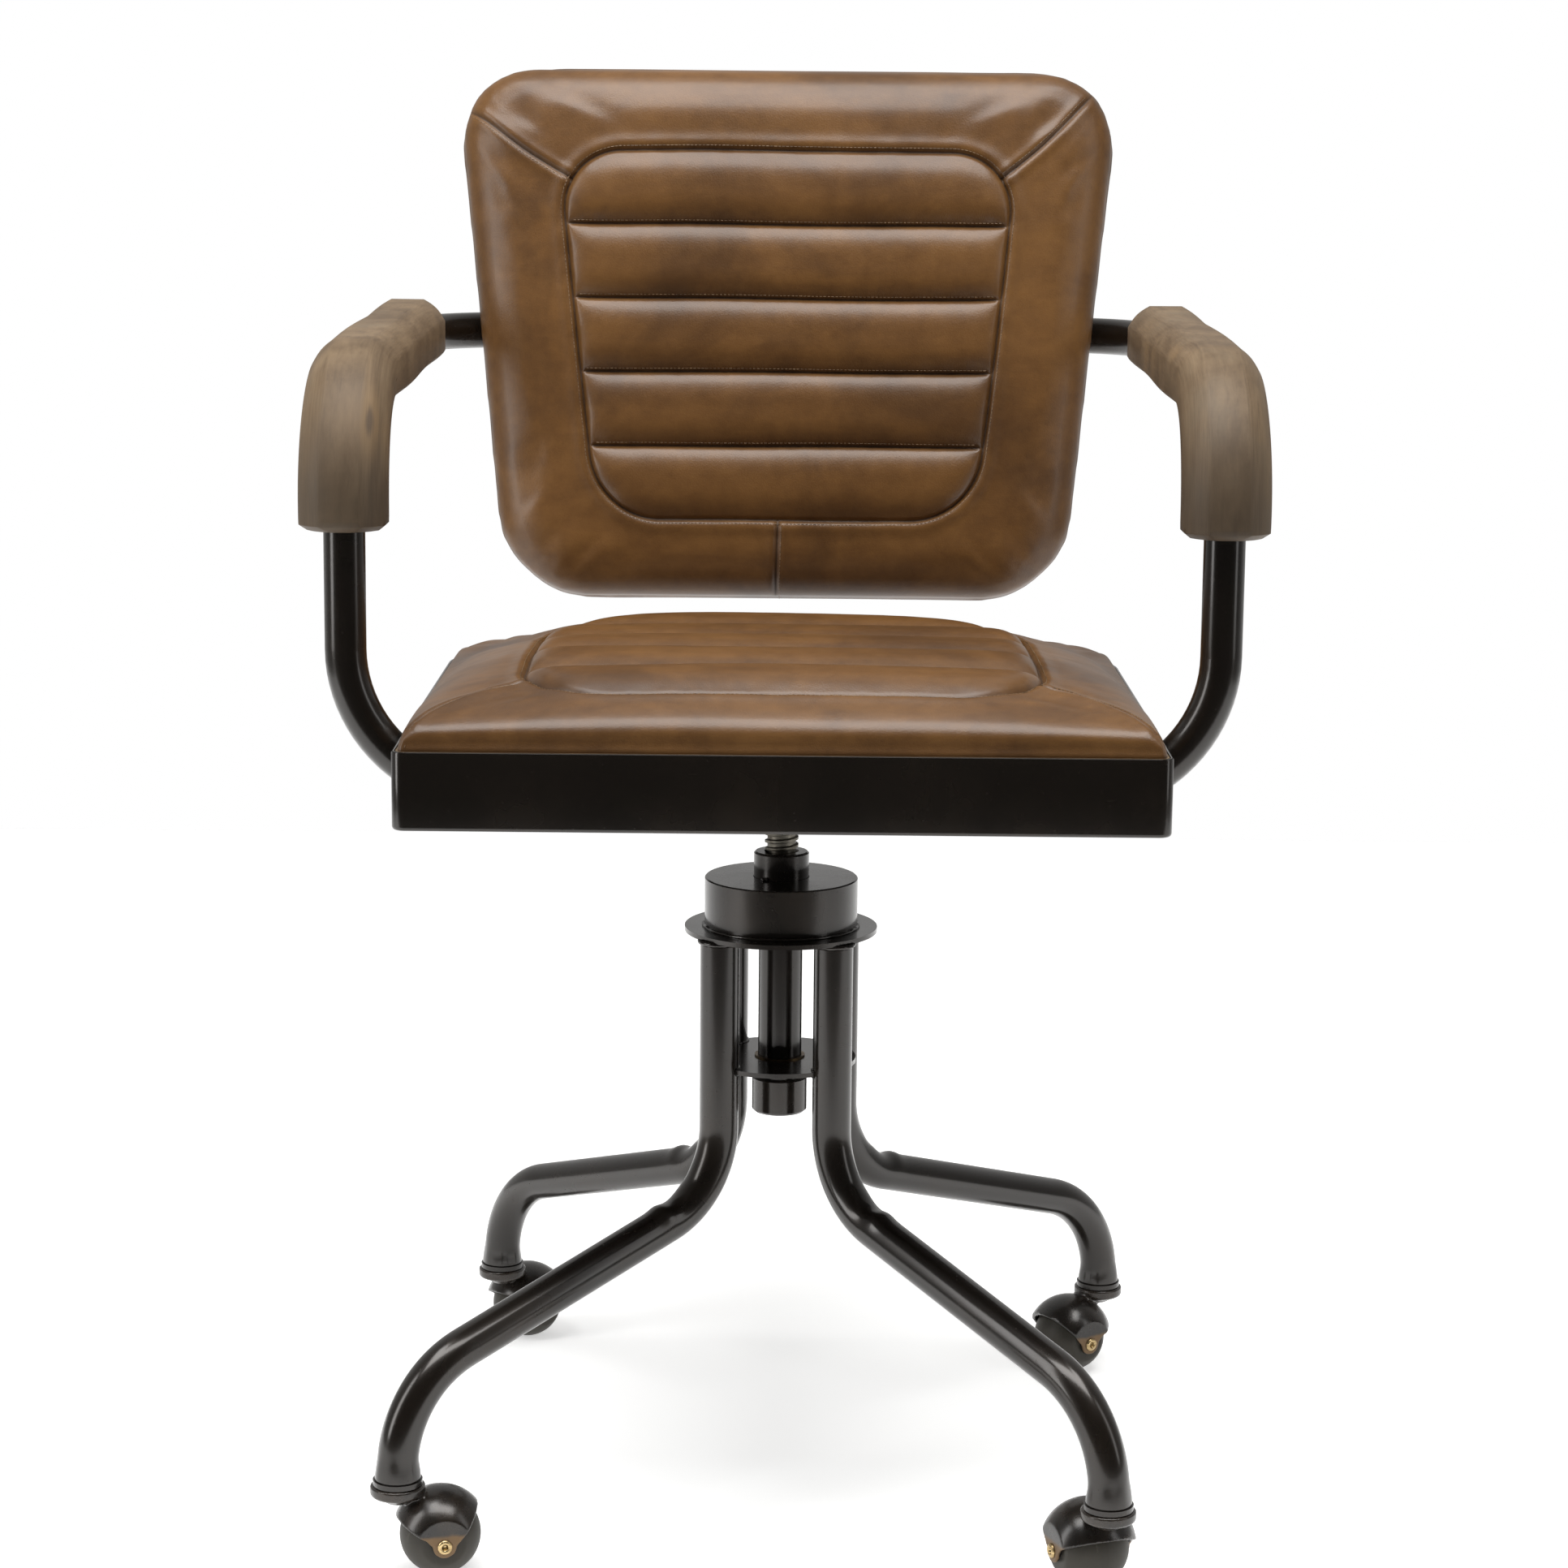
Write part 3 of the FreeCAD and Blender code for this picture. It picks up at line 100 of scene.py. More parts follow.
room.links.new(either.outputs["Shader"], room.nodes["World Output"].inputs["Surface"])


def soft_light(name, place, target, width, height, power):
    """A rectangular soft box that faces its target"""
    data = bpy.data.lights.new(name, "AREA")
    data.shape = "RECTANGLE"
    data.size = width
    data.size_y = height
    data.energy = power
    lamp = bpy.data.objects.new(name, data)
    scene.collection.objects.link(lamp)
    aim = (Vector(target) - Vector(place)).to_track_quat("-Z", "Y")
    lamp.matrix_world = Matrix.Translation(place) @ aim.to_matrix().to_4x4()
    return lamp


soft_light("overhead", (0.0, -0.5, 2.5), (0, 0.05, 0.5), 2.4, 1.3, 74)
soft_light("left_box", (-1.9, -0.8, 1.2), (0, 0, 0.6), 0.55, 1.9, 19)
soft_light("right_box", (1.9, -0.8, 1.2), (0, 0, 0.6), 0.45, 1.9, 6)


# Dark lacquer: every steel part is covered in a thin near-black bronze lacquer, brushed on by hand.
# It is brownish where it is thin, with a few scuffs, runs and grains of dust, and it is glossy.
def operator(operation, reflected=False):
    """A Math node as a method; reflected takes the other value first"""
    def apply(self, other):
        first, second = (other, self) if reflected else (self, other)
        return self.finish.node("Math", {"operation": operation}, {0: first, 1: second})(0)
    return apply


class Field:
    """A value that changes over a surface, so that shader maths reads as plain expressions"""
    __add__, __radd__ = operator("ADD"), operator("ADD", True)
    __sub__, __rsub__ = operator("SUBTRACT"), operator("SUBTRACT", True)
    __mul__, __rmul__ = operator("MULTIPLY"), operator("MULTIPLY", True)
    __truediv__ = operator("DIVIDE")
    __pow__ = operator("POWER")
    least = operator("MINIMUM")

    def __init__(self, finish, socket):
        self.finish = finish
        self.socket = socket

    def step(self, low, high):
        """0 below low, 1 above high and smooth between"""
        settings = {"interpolation_type": "SMOOTHSTEP"}
        made = self.finish.node("MapRange", settings, {"Value": self, "From Min": low, "From Max": high})
        return made("Result")


class Finish:
    """A material in the making: constants on its shader, and nodes for what changes over the piece"""

    def __init__(self, name, **constants):
        self.material = bpy.data.materials.new(name)
        self.material.use_nodes = True
        self.tree = self.material.node_tree
        self.shader = self.tree.nodes["Principled BSDF"]
        for socket, value in constants.items():
            self.shader.inputs[socket.replace("_", " ")].default_value = value

    def node(self, kind, settings=None, inputs=None):
        """Makes a node: its settings, then its sockets; gives a way to reach its outputs"""
        made = self.tree.nodes.new("ShaderNode" + kind)
        for name, value in (settings or {}).items():
            if name == "stops":
                ramp = made.color_ramp.elements
                while len(ramp) < len(value):
                    ramp.new(1.0)
                for element, (spot, color) in zip(ramp, value):
                    element.position = spot
                    element.color = (*color, 1)
            else:
                setattr(made, name, value)
        for name, value in (inputs or {}).items():
            self.feed(self.pick(made.inputs, name), value)
        return lambda name=0: Field(self, self.pick(made.outputs, name))

    @staticmethod
    def pick(sockets, name):
        if isinstance(name, int):
            return sockets[name]
        return next(item for item in sockets if name in (item.identifier, item.name) and item.enabled)

    def feed(self, socket, value):
        if isinstance(value, Field):
            self.tree.links.new(value.socket, socket)
        else:
            socket.default_value = value

    def set(self, name, value):
        self.feed(self.shader.inputs[name], value)

    def spot(self, scale=(1, 1, 1), uv=None):
        """Where on the piece: its own coordinates, or a UV map, stretched by a scale"""
        here = self.node("UVMap", {"uv_map": uv})(0) if uv else self.node("TexCoord")("Object")
        return self.node("Mapping", None, {"Vector": here, "Scale": scale})(0)

    def noise(self, spot, scale, detail=3.0, rough=0.55, warp=0.0):
        return self.node("TexNoise", None, {"Vector": spot, "Scale": scale, "Detail": detail,
                                            "Roughness": rough, "Distortion": warp})(0)

    def cells(self, spot, scale, feature="F1", rand=1.0):
        return self.node("TexVoronoi", {"feature": feature},
                         {"Vector": spot, "Scale": scale, "Randomness": rand})("Distance")

    def mix(self, share, first, second):
        made = self.node("Mix", {"data_type": "RGBA"},
                         {"Factor_Float": share, "A_Color": first, "B_Color": second})
        return made("Result_Color")

    def relief(self, height, strength, distance):
        made = self.node("Bump", None, {"Height": height, "Strength": strength, "Distance": distance})
        self.set("Normal", made(0))


def lacquer(name, dark=(0.0115, 0.0085, 0.006, 1), thin=(0.034, 0.024, 0.017, 1), gloss=0.24):
    paint = Finish(name, Specular_IOR_Level=0.6, Coat_Roughness=0.14)
    spot = paint.spot()
    cloud = paint.noise(spot, 9.0, 4.0, 0.6)
    streak = paint.noise(paint.spot((60, 60, 7)), 1.0, 3.0, 0.6, 0.4)
    dust = paint.cells(spot, 170.0)
    patchy = (cloud * 0.9 + streak * 0.12).step(0.42, 0.8)
    scuffs = paint.noise(paint.spot((14, 22, 160)), 1.0, 5.0, 0.7, 1.2).step(0.66, 0.78)
    speck = 1.0 - dust.step(0.035, 0.11)
    worn = (scuffs * 0.45 + speck * 0.18).least(1.0)
    color = paint.mix(patchy * 0.75, dark, thin)
    paint.set("Base Color", paint.mix(worn * 0.3, color, (0.13, 0.1, 0.075, 1)))
    paint.set("Roughness", (gloss + patchy * 0.1 + worn * 0.2).least(0.8))
    paint.set("Metallic", 0.5 + patchy * 0.2)
    paint.set("Coat Weight", 0.48 - worn * 0.35)
    paint.relief(cloud * 0.6 + speck * 0.35 + scuffs * 0.1, 0.22, 0.0006)
    return paint.material


dark_lacquer = lacquer("dark_lacquer")


def dress(material, *names):
    """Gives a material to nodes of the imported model"""
    for name in names:
        mesh = nodes[name].data
        mesh.materials.clear()
        mesh.materials.append(material)


# Base: four bent tubes welded under a round flange, with a plate between them lower down. The tubes
# were bent cold, which left a dip and a hump inside each knee, and each foot is swaged out to a lip.
TUBE_RADIUS = 0.0127
BASE_TURN = math.radians(-4)
BEARINGS = {"back_left": 45, "back_right": 135, "front_right": 225, "front_left": 315}
LEG_LINE = [(0.052, 0.365), (0.052, 0.1964), (0.308, 0.1196), (0.308, 0.0612)]
LEG_BENDS = [0.060, 0.070]
dress(dark_lacquer, "flange_plate", "hub_drum", "drum_lid", "spider_plate", "stem_sockets")


def rounded_line(corners, bends, spacing=0.003):
    """Points along straight runs joined by arcs"""
    corners = [Vector(corner) for corner in corners]
    points = [corners[0]]

    def run_to(end):
        start = points[-1]
        count = max(1, math.ceil((end - start).length / spacing))
        points.extend(start.lerp(end, step / count) for step in range(1, count + 1))

    for before, here, after, bend in zip(corners, corners[1:], corners[2:], bends):
        back, onward = (before - here).normalized(), (after - here).normalized()
        turn = math.pi - back.angle(onward)
        reach = bend * math.tan(turn / 2)
        middle = here + (back + onward).normalized() * (bend / math.cos(turn / 2))
        run_to(here + back * reach)
        first = points[-1] - middle
        axis = first.cross(here + onward * reach - middle)
        count = max(4, math.ceil(bend * turn / spacing))
        for step in range(1, count + 1):
            points.append(middle + Matrix.Rotation(turn * step / count, 3, axis) @ first)
    run_to(corners[-1])
    return points


def frames_along(points, side, closed=False):
    """For each point its way forward and two square directions that don't twist"""
    count = len(points)
    found = []
    side = Vector(side)
    for index, point in enumerate(points):
        before = points[index - 1] if closed or index else points[index]
        after = points[(index + 1) % count] if closed or index < count - 1 else points[index]
        ahead = (after - before).normalized()
        side = (side - ahead * side.dot(ahead)).normalized()
        found.append((point, ahead, side, ahead.cross(side)))
    return found


def mend(mesh, merge=None, outwards=True):
    """Merges doubles closer than merge and turns the faces outwards"""
    bm = bmesh.new()
    bm.from_mesh(mesh)
    if merge:
        bmesh.ops.remove_doubles(bm, verts=bm.verts, dist=merge)
    if outwards:
        bmesh.ops.recalc_face_normals(bm, faces=bm.faces)
    bm.to_mesh(mesh)
    bm.free()


def new_piece(name, verts, faces, material, smooth=True):
    mesh = bpy.data.meshes.new(name)
    mesh.from_pydata([tuple(vert) for vert in verts], [], faces)
    mesh.validate()
    mend(mesh)
    for face in mesh.polygons:
        face.use_smooth = smooth
    mesh.materials.append(material)
    piece = bpy.data.objects.new(name, mesh)
    scene.collection.objects.link(piece)
    return piece


def grid_faces(rings, sides, closed=False, capped=True):
    """Quads between rings of points, with a flat cap on each open end"""
    faces = []
    for ring in range(rings if closed else rings - 1):
        low, high = ring * sides, (ring + 1) % rings * sides
        for side in range(sides):
            after = (side + 1) % sides
            faces.append((low + side, low + after, high + after, high + side))
    if capped and not closed:
        faces.append(tuple(range(sides))[::-1])
        faces.append(tuple((rings - 1) * sides + side for side in range(sides)))
    return faces


def sweep(name, points, side, radius, material, sides=40, closed=False):
    """A round bar along a line; radius is a function of the way along and the angle round it"""
    verts = []
    length = 0.0
    last = points[0]
    for point, ahead, across, up in frames_along(points, side, closed):
        length += (point - last).length
        last = point
        for index in range(sides):
            angle = 2 * math.pi * index / sides
            reach = radius(length, angle)
            verts.append(point + across * math.cos(angle) * reach + up * math.sin(angle) * reach)
    return new_piece(name, verts, grid_faces(len(points), sides, closed), material)


leg_points = rounded_line([(r, 0, z) for r, z in LEG_LINE], LEG_BENDS)
leg_length = sum((b - a).length for a, b in zip(leg_points, leg_points[1:]))
knee_start = 0.365 - 0.1964 - LEG_BENDS[0] * math.tan(math.radians(73.3) / 2)
knee_length = LEG_BENDS[0] * math.radians(73.3)


def leg_radius(way, angle):
    """Plain tube, with a dip and a hump inside the end of the knee and swaged out at the foot"""
    reach = TUBE_RADIUS
    past = way - knee_start - knee_length
    inside = max(0.0, math.cos(angle)) ** 2
    reach -= 0.0013 * math.exp(-((past + 0.012) / 0.010) ** 2) * inside
    reach += 0.0014 * math.exp(-((past - 0.0035) / 0.0055) ** 2) * inside
    reach -= 0.0005 * math.exp(-((past + 0.034) / 0.007) ** 2) * inside
    foot = (way - leg_length + 0.016) / 0.016
    if foot > 0:
        reach += 0.0016 * foot * foot * (3 - 2 * foot)
        reach += 0.00022 * math.sin(angle * 7 + 0.8) * foot * (1 - foot) * 4
    return reach


for corner, bearing in BEARINGS.items():
    leg = sweep(f"bent_leg_{corner}", leg_points, (1, 0, 0), leg_radius, dark_lacquer)
    leg.data.transform(Matrix.Rotation(math.radians(bearing) + BASE_TURN, 4, "Z"))
    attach(leg, "base")
    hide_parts(f"leg_{corner}")


def weld_bead(name, points, thick, material, body, seed=0.0, closed=True):
    """A run of weld metal: an uneven round string laid along a seam"""
    def radius(way, angle):
        ripple = 0.14 * math.sin(way / thick * 2.6)
        lump = 0.35 * noise.noise(Vector((way * 160 + seed * 17, math.cos(angle), seed)))
        return thick * (1 + ripple + lump)

    bead = sweep(name, points, (0, 0, 1), radius, material, sides=10, closed=closed)
    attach(bead, body)
    return bead


def circle_points(radius, height, count=120, centre=(0, 0)):
    return [Vector((centre[0] + radius * math.cos(2 * math.pi * step / count),
                    centre[1] + radius * math.sin(2 * math.pi * step / count), height))
            for step in range(count)]


weld_bead("drum_weld", circle_points(0.0503, 0.3686, 220), 0.0013, dark_lacquer, "base", 1.0)
for number, (corner, bearing) in enumerate(BEARINGS.items()):
    way = math.radians(bearing) + BASE_TURN
    spot = (0.052 * math.cos(way), 0.052 * math.sin(way))
    weld_bead(f"leg_weld_{corner}", circle_points(TUBE_RADIUS + 0.0004, 0.3642, 60, spot), 0.0014,
              dark_lacquer, "base", 2.0 + number)
    for level, height in (("over", 0.2804), ("under", 0.2766)):
        arc = circle_points(TUBE_RADIUS + 0.0002, height, 60, spot)
        inner = [point for point in arc if point.xy.length < 0.0505]
        start = max(range(len(inner)), key=lambda k: (inner[k] - inner[k - 1]).length)
        inner = inner[start:] + inner[:start]
        weld_bead(f"plate_weld_{level}_{corner}", inner, 0.0008, dark_lacquer, "base", 5.0 + number,
                  closed=False)

# Turning nut and column: the nut collar comes out of the drum's lid, its column tube hangs below
# through the plate, and a cap closes it. The lifting screw is bare oiled steel, brownish in the roots.
dress(dark_lacquer, "nut_collar", "column_tube", "end_cap", "lock_ring")


def bare_steel(name, color=(0.2, 0.185, 0.155, 1), stain=(0.05, 0.04, 0.028, 1), gloss=0.32):
    steel = Finish(name, Metallic=0.95)
    spot = steel.spot()
    film = steel.noise(spot, 90.0, 4.0, 0.6)
    turned_lines = steel.noise(steel.spot((120, 120, 1600)), 1.0, 2.0, 0.5)
    dirt = (film * 0.8 + turned_lines * 0.35).step(0.45, 0.8)
    steel.set("Base Color", steel.mix(dirt, color, stain))
    steel.set("Roughness", gloss + dirt * 0.25)
    steel.relief(turned_lines + film * 0.6, 0.2, 0.0002)
    return steel.material


screw_steel = bare_steel("screw_steel")
dress(screw_steel, "spindle", "journal_nut", *[f"caster_stem_{corner}" for corner in BEARINGS])
dress(bare_steel("bearing_steel", (0.45, 0.45, 0.43, 1), (0.2, 0.18, 0.15, 1), 0.18),
      "lower_race", "upper_race", "bearing_balls", "ball_cage")
dress(bare_steel("bush_brass", (0.16, 0.11, 0.055, 1), (0.05, 0.035, 0.02, 1), 0.35),
      "guide_bushing", "guide_shoe")
dress(bare_steel("dull_zinc", (0.33, 0.32, 0.3, 1), (0.14, 0.12, 0.1, 1), 0.38),
      "head_bolts", "seat_screws", "armrest_screws", "back_bolts")
for number, corner in enumerate((0.7, 2.4, 4.1)):
    spot = (0.0189 * math.cos(corner), 0.0189 * math.sin(corner))
    weld_bead(f"collar_weld_{number}", circle_points(0.0014, 0.4012, 12, spot), 0.0011,
              dark_lacquer, "nut_sleeve", 20.0 + number)

# Casters: a die-cast hood turns on a stem in each foot and carries a solid ball with two flat sides.
# Lacquer has rubbed off the ears down to brown bronze. A hollow rivet is the axle.
TRAILS = {"back_left": 215, "back_right": 50, "front_right": 12, "front_left": 111}
CASTER_REACH = 0.308
TRAIL = 0.026
BALL_RADIUS = 0.025
BALL_FLAT = 0.0214
RIVET_PROFILE = [(0.0, 0.0238), (0.0015, 0.0238), (0.0017, 0.0256), (0.0022, 0.0263), (0.0032, 0.0266),
                 (0.0041, 0.0262), (0.0046, 0.0254), (0.0046, 0.02502), (0.003, 0.02502), (0.003, 0.0)]


def plain_mesh(piece):
    """Makes what a piece's modifiers give its own mesh"""
    bpy.context.view_layer.update()
    graph = bpy.context.evaluated_depsgraph_get()
    made = bpy.data.meshes.new_from_object(piece.evaluated_get(graph))
    piece.modifiers.clear()
    piece.data = made
    return made


def lathe(name, profile, material, sides=64, mirrored=False):
    """A turned piece round its Z axis from corners of (radius, height)"""
    if mirrored:
        profile = profile + [(r, -z) for r, z in reversed(profile[:-1])]
    verts = [Vector((r * math.cos(2 * math.pi * k / sides), r * math.sin(2 * math.pi * k / sides), z))
             for r, z in profile for k in range(sides)]
    piece = new_piece(name, verts, grid_faces(len(profile), sides, capped=False), material)
    mend(piece.data, merge=1e-7)
    return piece


def cast_bronze():
    cast = Finish("cast_bronze", Coat_Roughness=0.2)
    spot = cast.spot()
    grain = cast.noise(spot, 240.0, 4.0, 0.65)
    cloud = cast.noise(spot, 34.0, 4.0, 0.6)
    rub = cast.node("Attribute", {"attribute_name": "rubbed"})("Fac")
    bare = (rub + (cloud - 0.5) * 0.55).step(0.35, 0.62)
    color = cast.mix(cloud.step(0.35, 0.7), (0.009, 0.0075, 0.006, 1), (0.03, 0.022, 0.016, 1))
    cast.set("Base Color", cast.mix(bare, color, (0.15, 0.098, 0.055, 1)))
    cast.set("Roughness", 0.24 + bare * 0.18 + grain * 0.08)
    cast.set("Metallic", 0.3 + bare * 0.55)
    cast.set("Coat Weight", 0.35 - bare * 0.3)
    cast.relief(grain * 0.6 + cloud, 0.3, 0.0004)
    return cast.material


def grey_ball():
    rubber = Finish("grey_ball", Specular_IOR_Level=0.22)
    spot = rubber.spot()
    cloud = rubber.noise(spot, 50.0, 4.0, 0.6)
    scuff = rubber.noise(rubber.spot((130, 130, 40)), 1.0, 5.0, 0.75, 0.8).step(0.58, 0.74)
    color = rubber.mix(cloud, (0.027, 0.0245, 0.0195, 1), (0.056, 0.05, 0.04, 1))
    rubber.set("Base Color", rubber.mix(scuff * 0.35, color, (0.13, 0.12, 0.1, 1)))
    rubber.set("Roughness", 0.42 + cloud * 0.12 + scuff * 0.15)
    rubber.relief(cloud * 0.4 + scuff * 0.4, 0.3, 0.0003)
    return rubber.material


bronze = cast_bronze()
ball_grey = grey_ball()
rivet_brass = bare_steel("rivet_brass", (0.62, 0.47, 0.24, 1), (0.2, 0.13, 0.06, 1), 0.25)
flat_reach = math.sqrt(BALL_RADIUS ** 2 - BALL_FLAT ** 2)
edge = math.asin(BALL_FLAT / BALL_RADIUS)
ball_profile = [(0.00305, 0.0), (0.00305, BALL_FLAT - 0.0003), (0.0034, BALL_FLAT),
                (flat_reach - 0.0009, BALL_FLAT), (flat_reach - 0.0002, BALL_FLAT - 0.00015)]
for step in range(25):
    up = edge * 0.975 * (1 - step / 24)
    dip = 0.00012 * math.exp(-(up / 0.02) ** 2)
    ball_profile.append(((BALL_RADIUS - dip) * math.cos(up), (BALL_RADIUS - dip) * math.sin(up)))
for corner, bearing in BEARINGS.items():
    way = math.radians(bearing) + BASE_TURN
    stand = Matrix.Translation((CASTER_REACH * math.cos(way), CASTER_REACH * math.sin(way), 0))
    stand = stand @ Matrix.Rotation(math.radians(TRAILS[corner]), 4, "Z")
    sideways = Matrix.Rotation(math.pi / 2, 4, "X")
    on_axle = stand @ Matrix.Translation((TRAIL, 0, BALL_RADIUS)) @ sideways
    ball = lathe(f"ball_wheel_{corner}", ball_profile, ball_grey, 96, mirrored=True)
    ball.data.transform(on_axle)
    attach(ball, f"ball_{corner}")
    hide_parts(f"caster_ball_{corner}")
    rivet = lathe(f"axle_rivet_{corner}", RIVET_PROFILE, rivet_brass, 40, mirrored=True)
    rivet.data.transform(on_axle)
    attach(rivet, f"caster_{corner}")
    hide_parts(f"caster_axle_{corner}")
    hood = bpy.data.objects.new(f"cast_hood_{corner}", nodes[f"caster_hood_{corner}"].data.copy())
    scene.collection.objects.link(hood)
    hood.data.materials.clear()
    mend(hood.data, merge=1e-6, outwards=False)
    remesh = hood.modifiers.new("remesh", "REMESH")
    remesh.mode = "VOXEL"
    remesh.voxel_size = 0.00075
    soften = hood.modifiers.new("soften", "SMOOTH")
    soften.factor = 0.5
    soften.iterations = 7
    cast_mesh = plain_mesh(hood)
    cast_mesh.materials.clear()
    cast_mesh.materials.append(bronze)
    axle_spot = on_axle.translation
    axle_way = (on_axle.to_3x3() @ Vector((0, 0, 1))).normalized()
    rubbed = cast_mesh.attributes.new("rubbed", "FLOAT", "POINT")
    for vert, value in zip(cast_mesh.vertices, rubbed.data):
        off = vert.co - axle_spot
        out = abs(off.dot(axle_way))
        low = min(1.0, max(0.0, (0.0125 - off.z) / 0.012))
        value.value = low * min(1.0, max(0.0, (out - 0.0225) / 0.0015))
    for face in cast_mesh.polygons:
        face.use_smooth = True
    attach(hood, f"caster_{corner}")
    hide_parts(f"caster_hood_{corner}")

# Seat frame: two bars and a plate carry a folded steel pan; its hems and front corners are rolled
# over a little.
dress(dark_lacquer, "head_plate", "cross_rails")
PAN = {"half": 0.230, "front": -0.228, "back": 0.217, "near_corner": 0.008, "far_corner": 0.072}
PAN_LOW = 0.472
PAN_TOP = 0.519
PAN_WALL = 0.002
DECK = (0.505, 0.507)


def pan_outline(inset, arc_steps=24):
    """The pan's plan, anticlockwise from the front left corner of the picture"""
    half, front, back = PAN["half"] - inset, PAN["front"] + inset, PAN["back"] - inset
    near, far = max(PAN["near_corner"] - inset, 0.0005), max(PAN["far_corner"] - inset, 0.0005)
    corners = [((-half + near, front + near), near, 180), ((half - near, front + near), near, 270),
               ((half - far, back - far), far, 0), ((-half + far, back - far), far, 90)]
    points = []
    for (x, y), radius, start in corners:
        for step in range(arc_steps + 1):
            angle = math.radians(start + 90 * step / arc_steps)
            points.append(Vector((x + radius * math.cos(angle), y + radius * math.sin(angle), 0)))
    return points


pan_section = [(0.0009, PAN_TOP), (0.0003, PAN_TOP - 0.0003), (0.0, PAN_TOP - 0.0010),
               (0.0, PAN_LOW + 0.0022), (0.0002, PAN_LOW + 0.0011), (0.0008, PAN_LOW + 0.0003),
               (0.0016, PAN_LOW), (0.0019, PAN_LOW + 0.0004), (PAN_WALL, PAN_LOW + 0.0012),
               (PAN_WALL, PAN_TOP - 0.0006), (0.0016, PAN_TOP)]
verts, sides = [], len(pan_outline(0))
for inset, height in pan_section:
    verts += [Vector((x, y, height)) for x, y, _ in pan_outline(inset)]
faces = grid_faces(len(pan_section), sides, closed=True)
base = len(verts)
for height in DECK:
    verts += [Vector((x, y, height)) for x, y, _ in pan_outline(PAN_WALL - 0.0002)]
faces += [tuple(base + index for index in face) for face in grid_faces(2, sides)]
pan = new_piece("folded_pan", verts, faces, dark_lacquer)
pan.data.set_sharp_from_angle(angle=math.radians(35))
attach(pan, "seat")
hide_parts("seat_pan")


def plywood():
    ply = Finish("plywood", Roughness=0.7)
    layer = ply.noise(ply.spot((30, 30, 900)), 1.0, 2.0, 0.5)
    grain = ply.noise(ply.spot((8, 160, 160)), 1.0, 5.0, 0.65, 0.6)
    color = ply.mix(grain, (0.12, 0.075, 0.038, 1), (0.2, 0.14, 0.08, 1))
    ply.set("Base Color", ply.mix(layer.step(0.45, 0.6) * 0.5, color, (0.09, 0.055, 0.03, 1)))
    ply.relief(grain, 0.3, 0.0004)
    return ply.material


dress(plywood(), "seat_board", "back_board")

# Seat cushion: foam under aged tan leather. A rounded panel in the middle is sewn in five channels
# across; mitre seams run from its front corners to the pan's corners. The leather is glossy and mottled.
CUSHION_CAP = 0.0022
SWELL_STEPS = 20
SEAM_WANDER = 0.0013
PANEL = {"half": 0.158, "front": -0.190, "back": 0.160, "corner": 0.062}
CHANNELS = 5
SEAT_HOLD = 0.522


def aged_leather(name, light=(0.168, 0.078, 0.021, 1), mid=(0.088, 0.037, 0.0085, 1),
                 deep=(0.032, 0.0135, 0.0035, 1)):
    hide = Finish(name, Coat_Roughness=0.24, Specular_IOR_Level=0.42)
    spot = hide.spot()
    cloud = hide.noise(spot, 8.0, 5.0, 0.62, 0.4)
    mottle = hide.noise(spot, 60.0, 6.0, 0.72)
    drag = hide.noise(hide.spot((4, 16, 16)), 3.0, 4.0, 0.6, 0.6)
    grain = hide.cells(spot, 950.0)
    pores = hide.noise(spot, 620.0, 3.0, 0.6)
    creases = hide.noise(hide.spot((38, 90, 90)), 1.0, 6.0, 0.72, 1.5)
    seam = hide.node("Attribute", {"attribute_name": "seam"})("Fac")
    # Painted shade with a little burnish, written by sew: darker low on the sides, along the seams and
    # under each channel
    burnish = hide.node("Attribute", {"attribute_name": "burnish"})("Fac")
    tone = (cloud * 0.45 + mottle * 0.35 + drag * 0.3).step(0.36, 0.78)
    color = hide.mix(tone, mid, light)
    color = hide.mix((0.6 - cloud).step(0.06, 0.3) * 0.4 + pores.step(0.55, 0.75) * 0.16, color, deep)
    # Painted shade and burnish: the leather is pulled towards the deep colour where that mark is high
    color = hide.mix(burnish * (0.62 - tone * 0.25), color, deep)
    hide.set("Base Color", hide.mix(seam * 0.85, color, (0.012, 0.0055, 0.0025, 1)))
    hide.set("Roughness", 0.37 + mottle * 0.12 + seam * 0.25 - tone * 0.05)
    hide.set("Coat Weight", 0.15 - seam * 0.14)
    hide.relief(grain * 0.5 + pores * 0.5 + creases * 0.6 + mottle * 0.4, 0.15, 0.0008)
    return hide.material


tan_leather = aged_leather("tan_leather")


def smooth(low, high, value):
    share = min(1.0, max(0.0, (value - low) / (high - low)))
    return share * share * (3 - 2 * share)


def rounded_distance(x, y, half, front, back, near, far):
    """How far a point lies outside a rectangle with rounded corners; inside it is negative"""
    middle = (front + back) / 2
    radius = near if y < middle else far
    over = abs(x) - (half - radius)
    up = abs(y - middle) - ((back - front) / 2 - radius)
    outside = math.hypot(max(over, 0.0), max(up, 0.0))
    return outside + min(max(over, up), 0.0) - radius


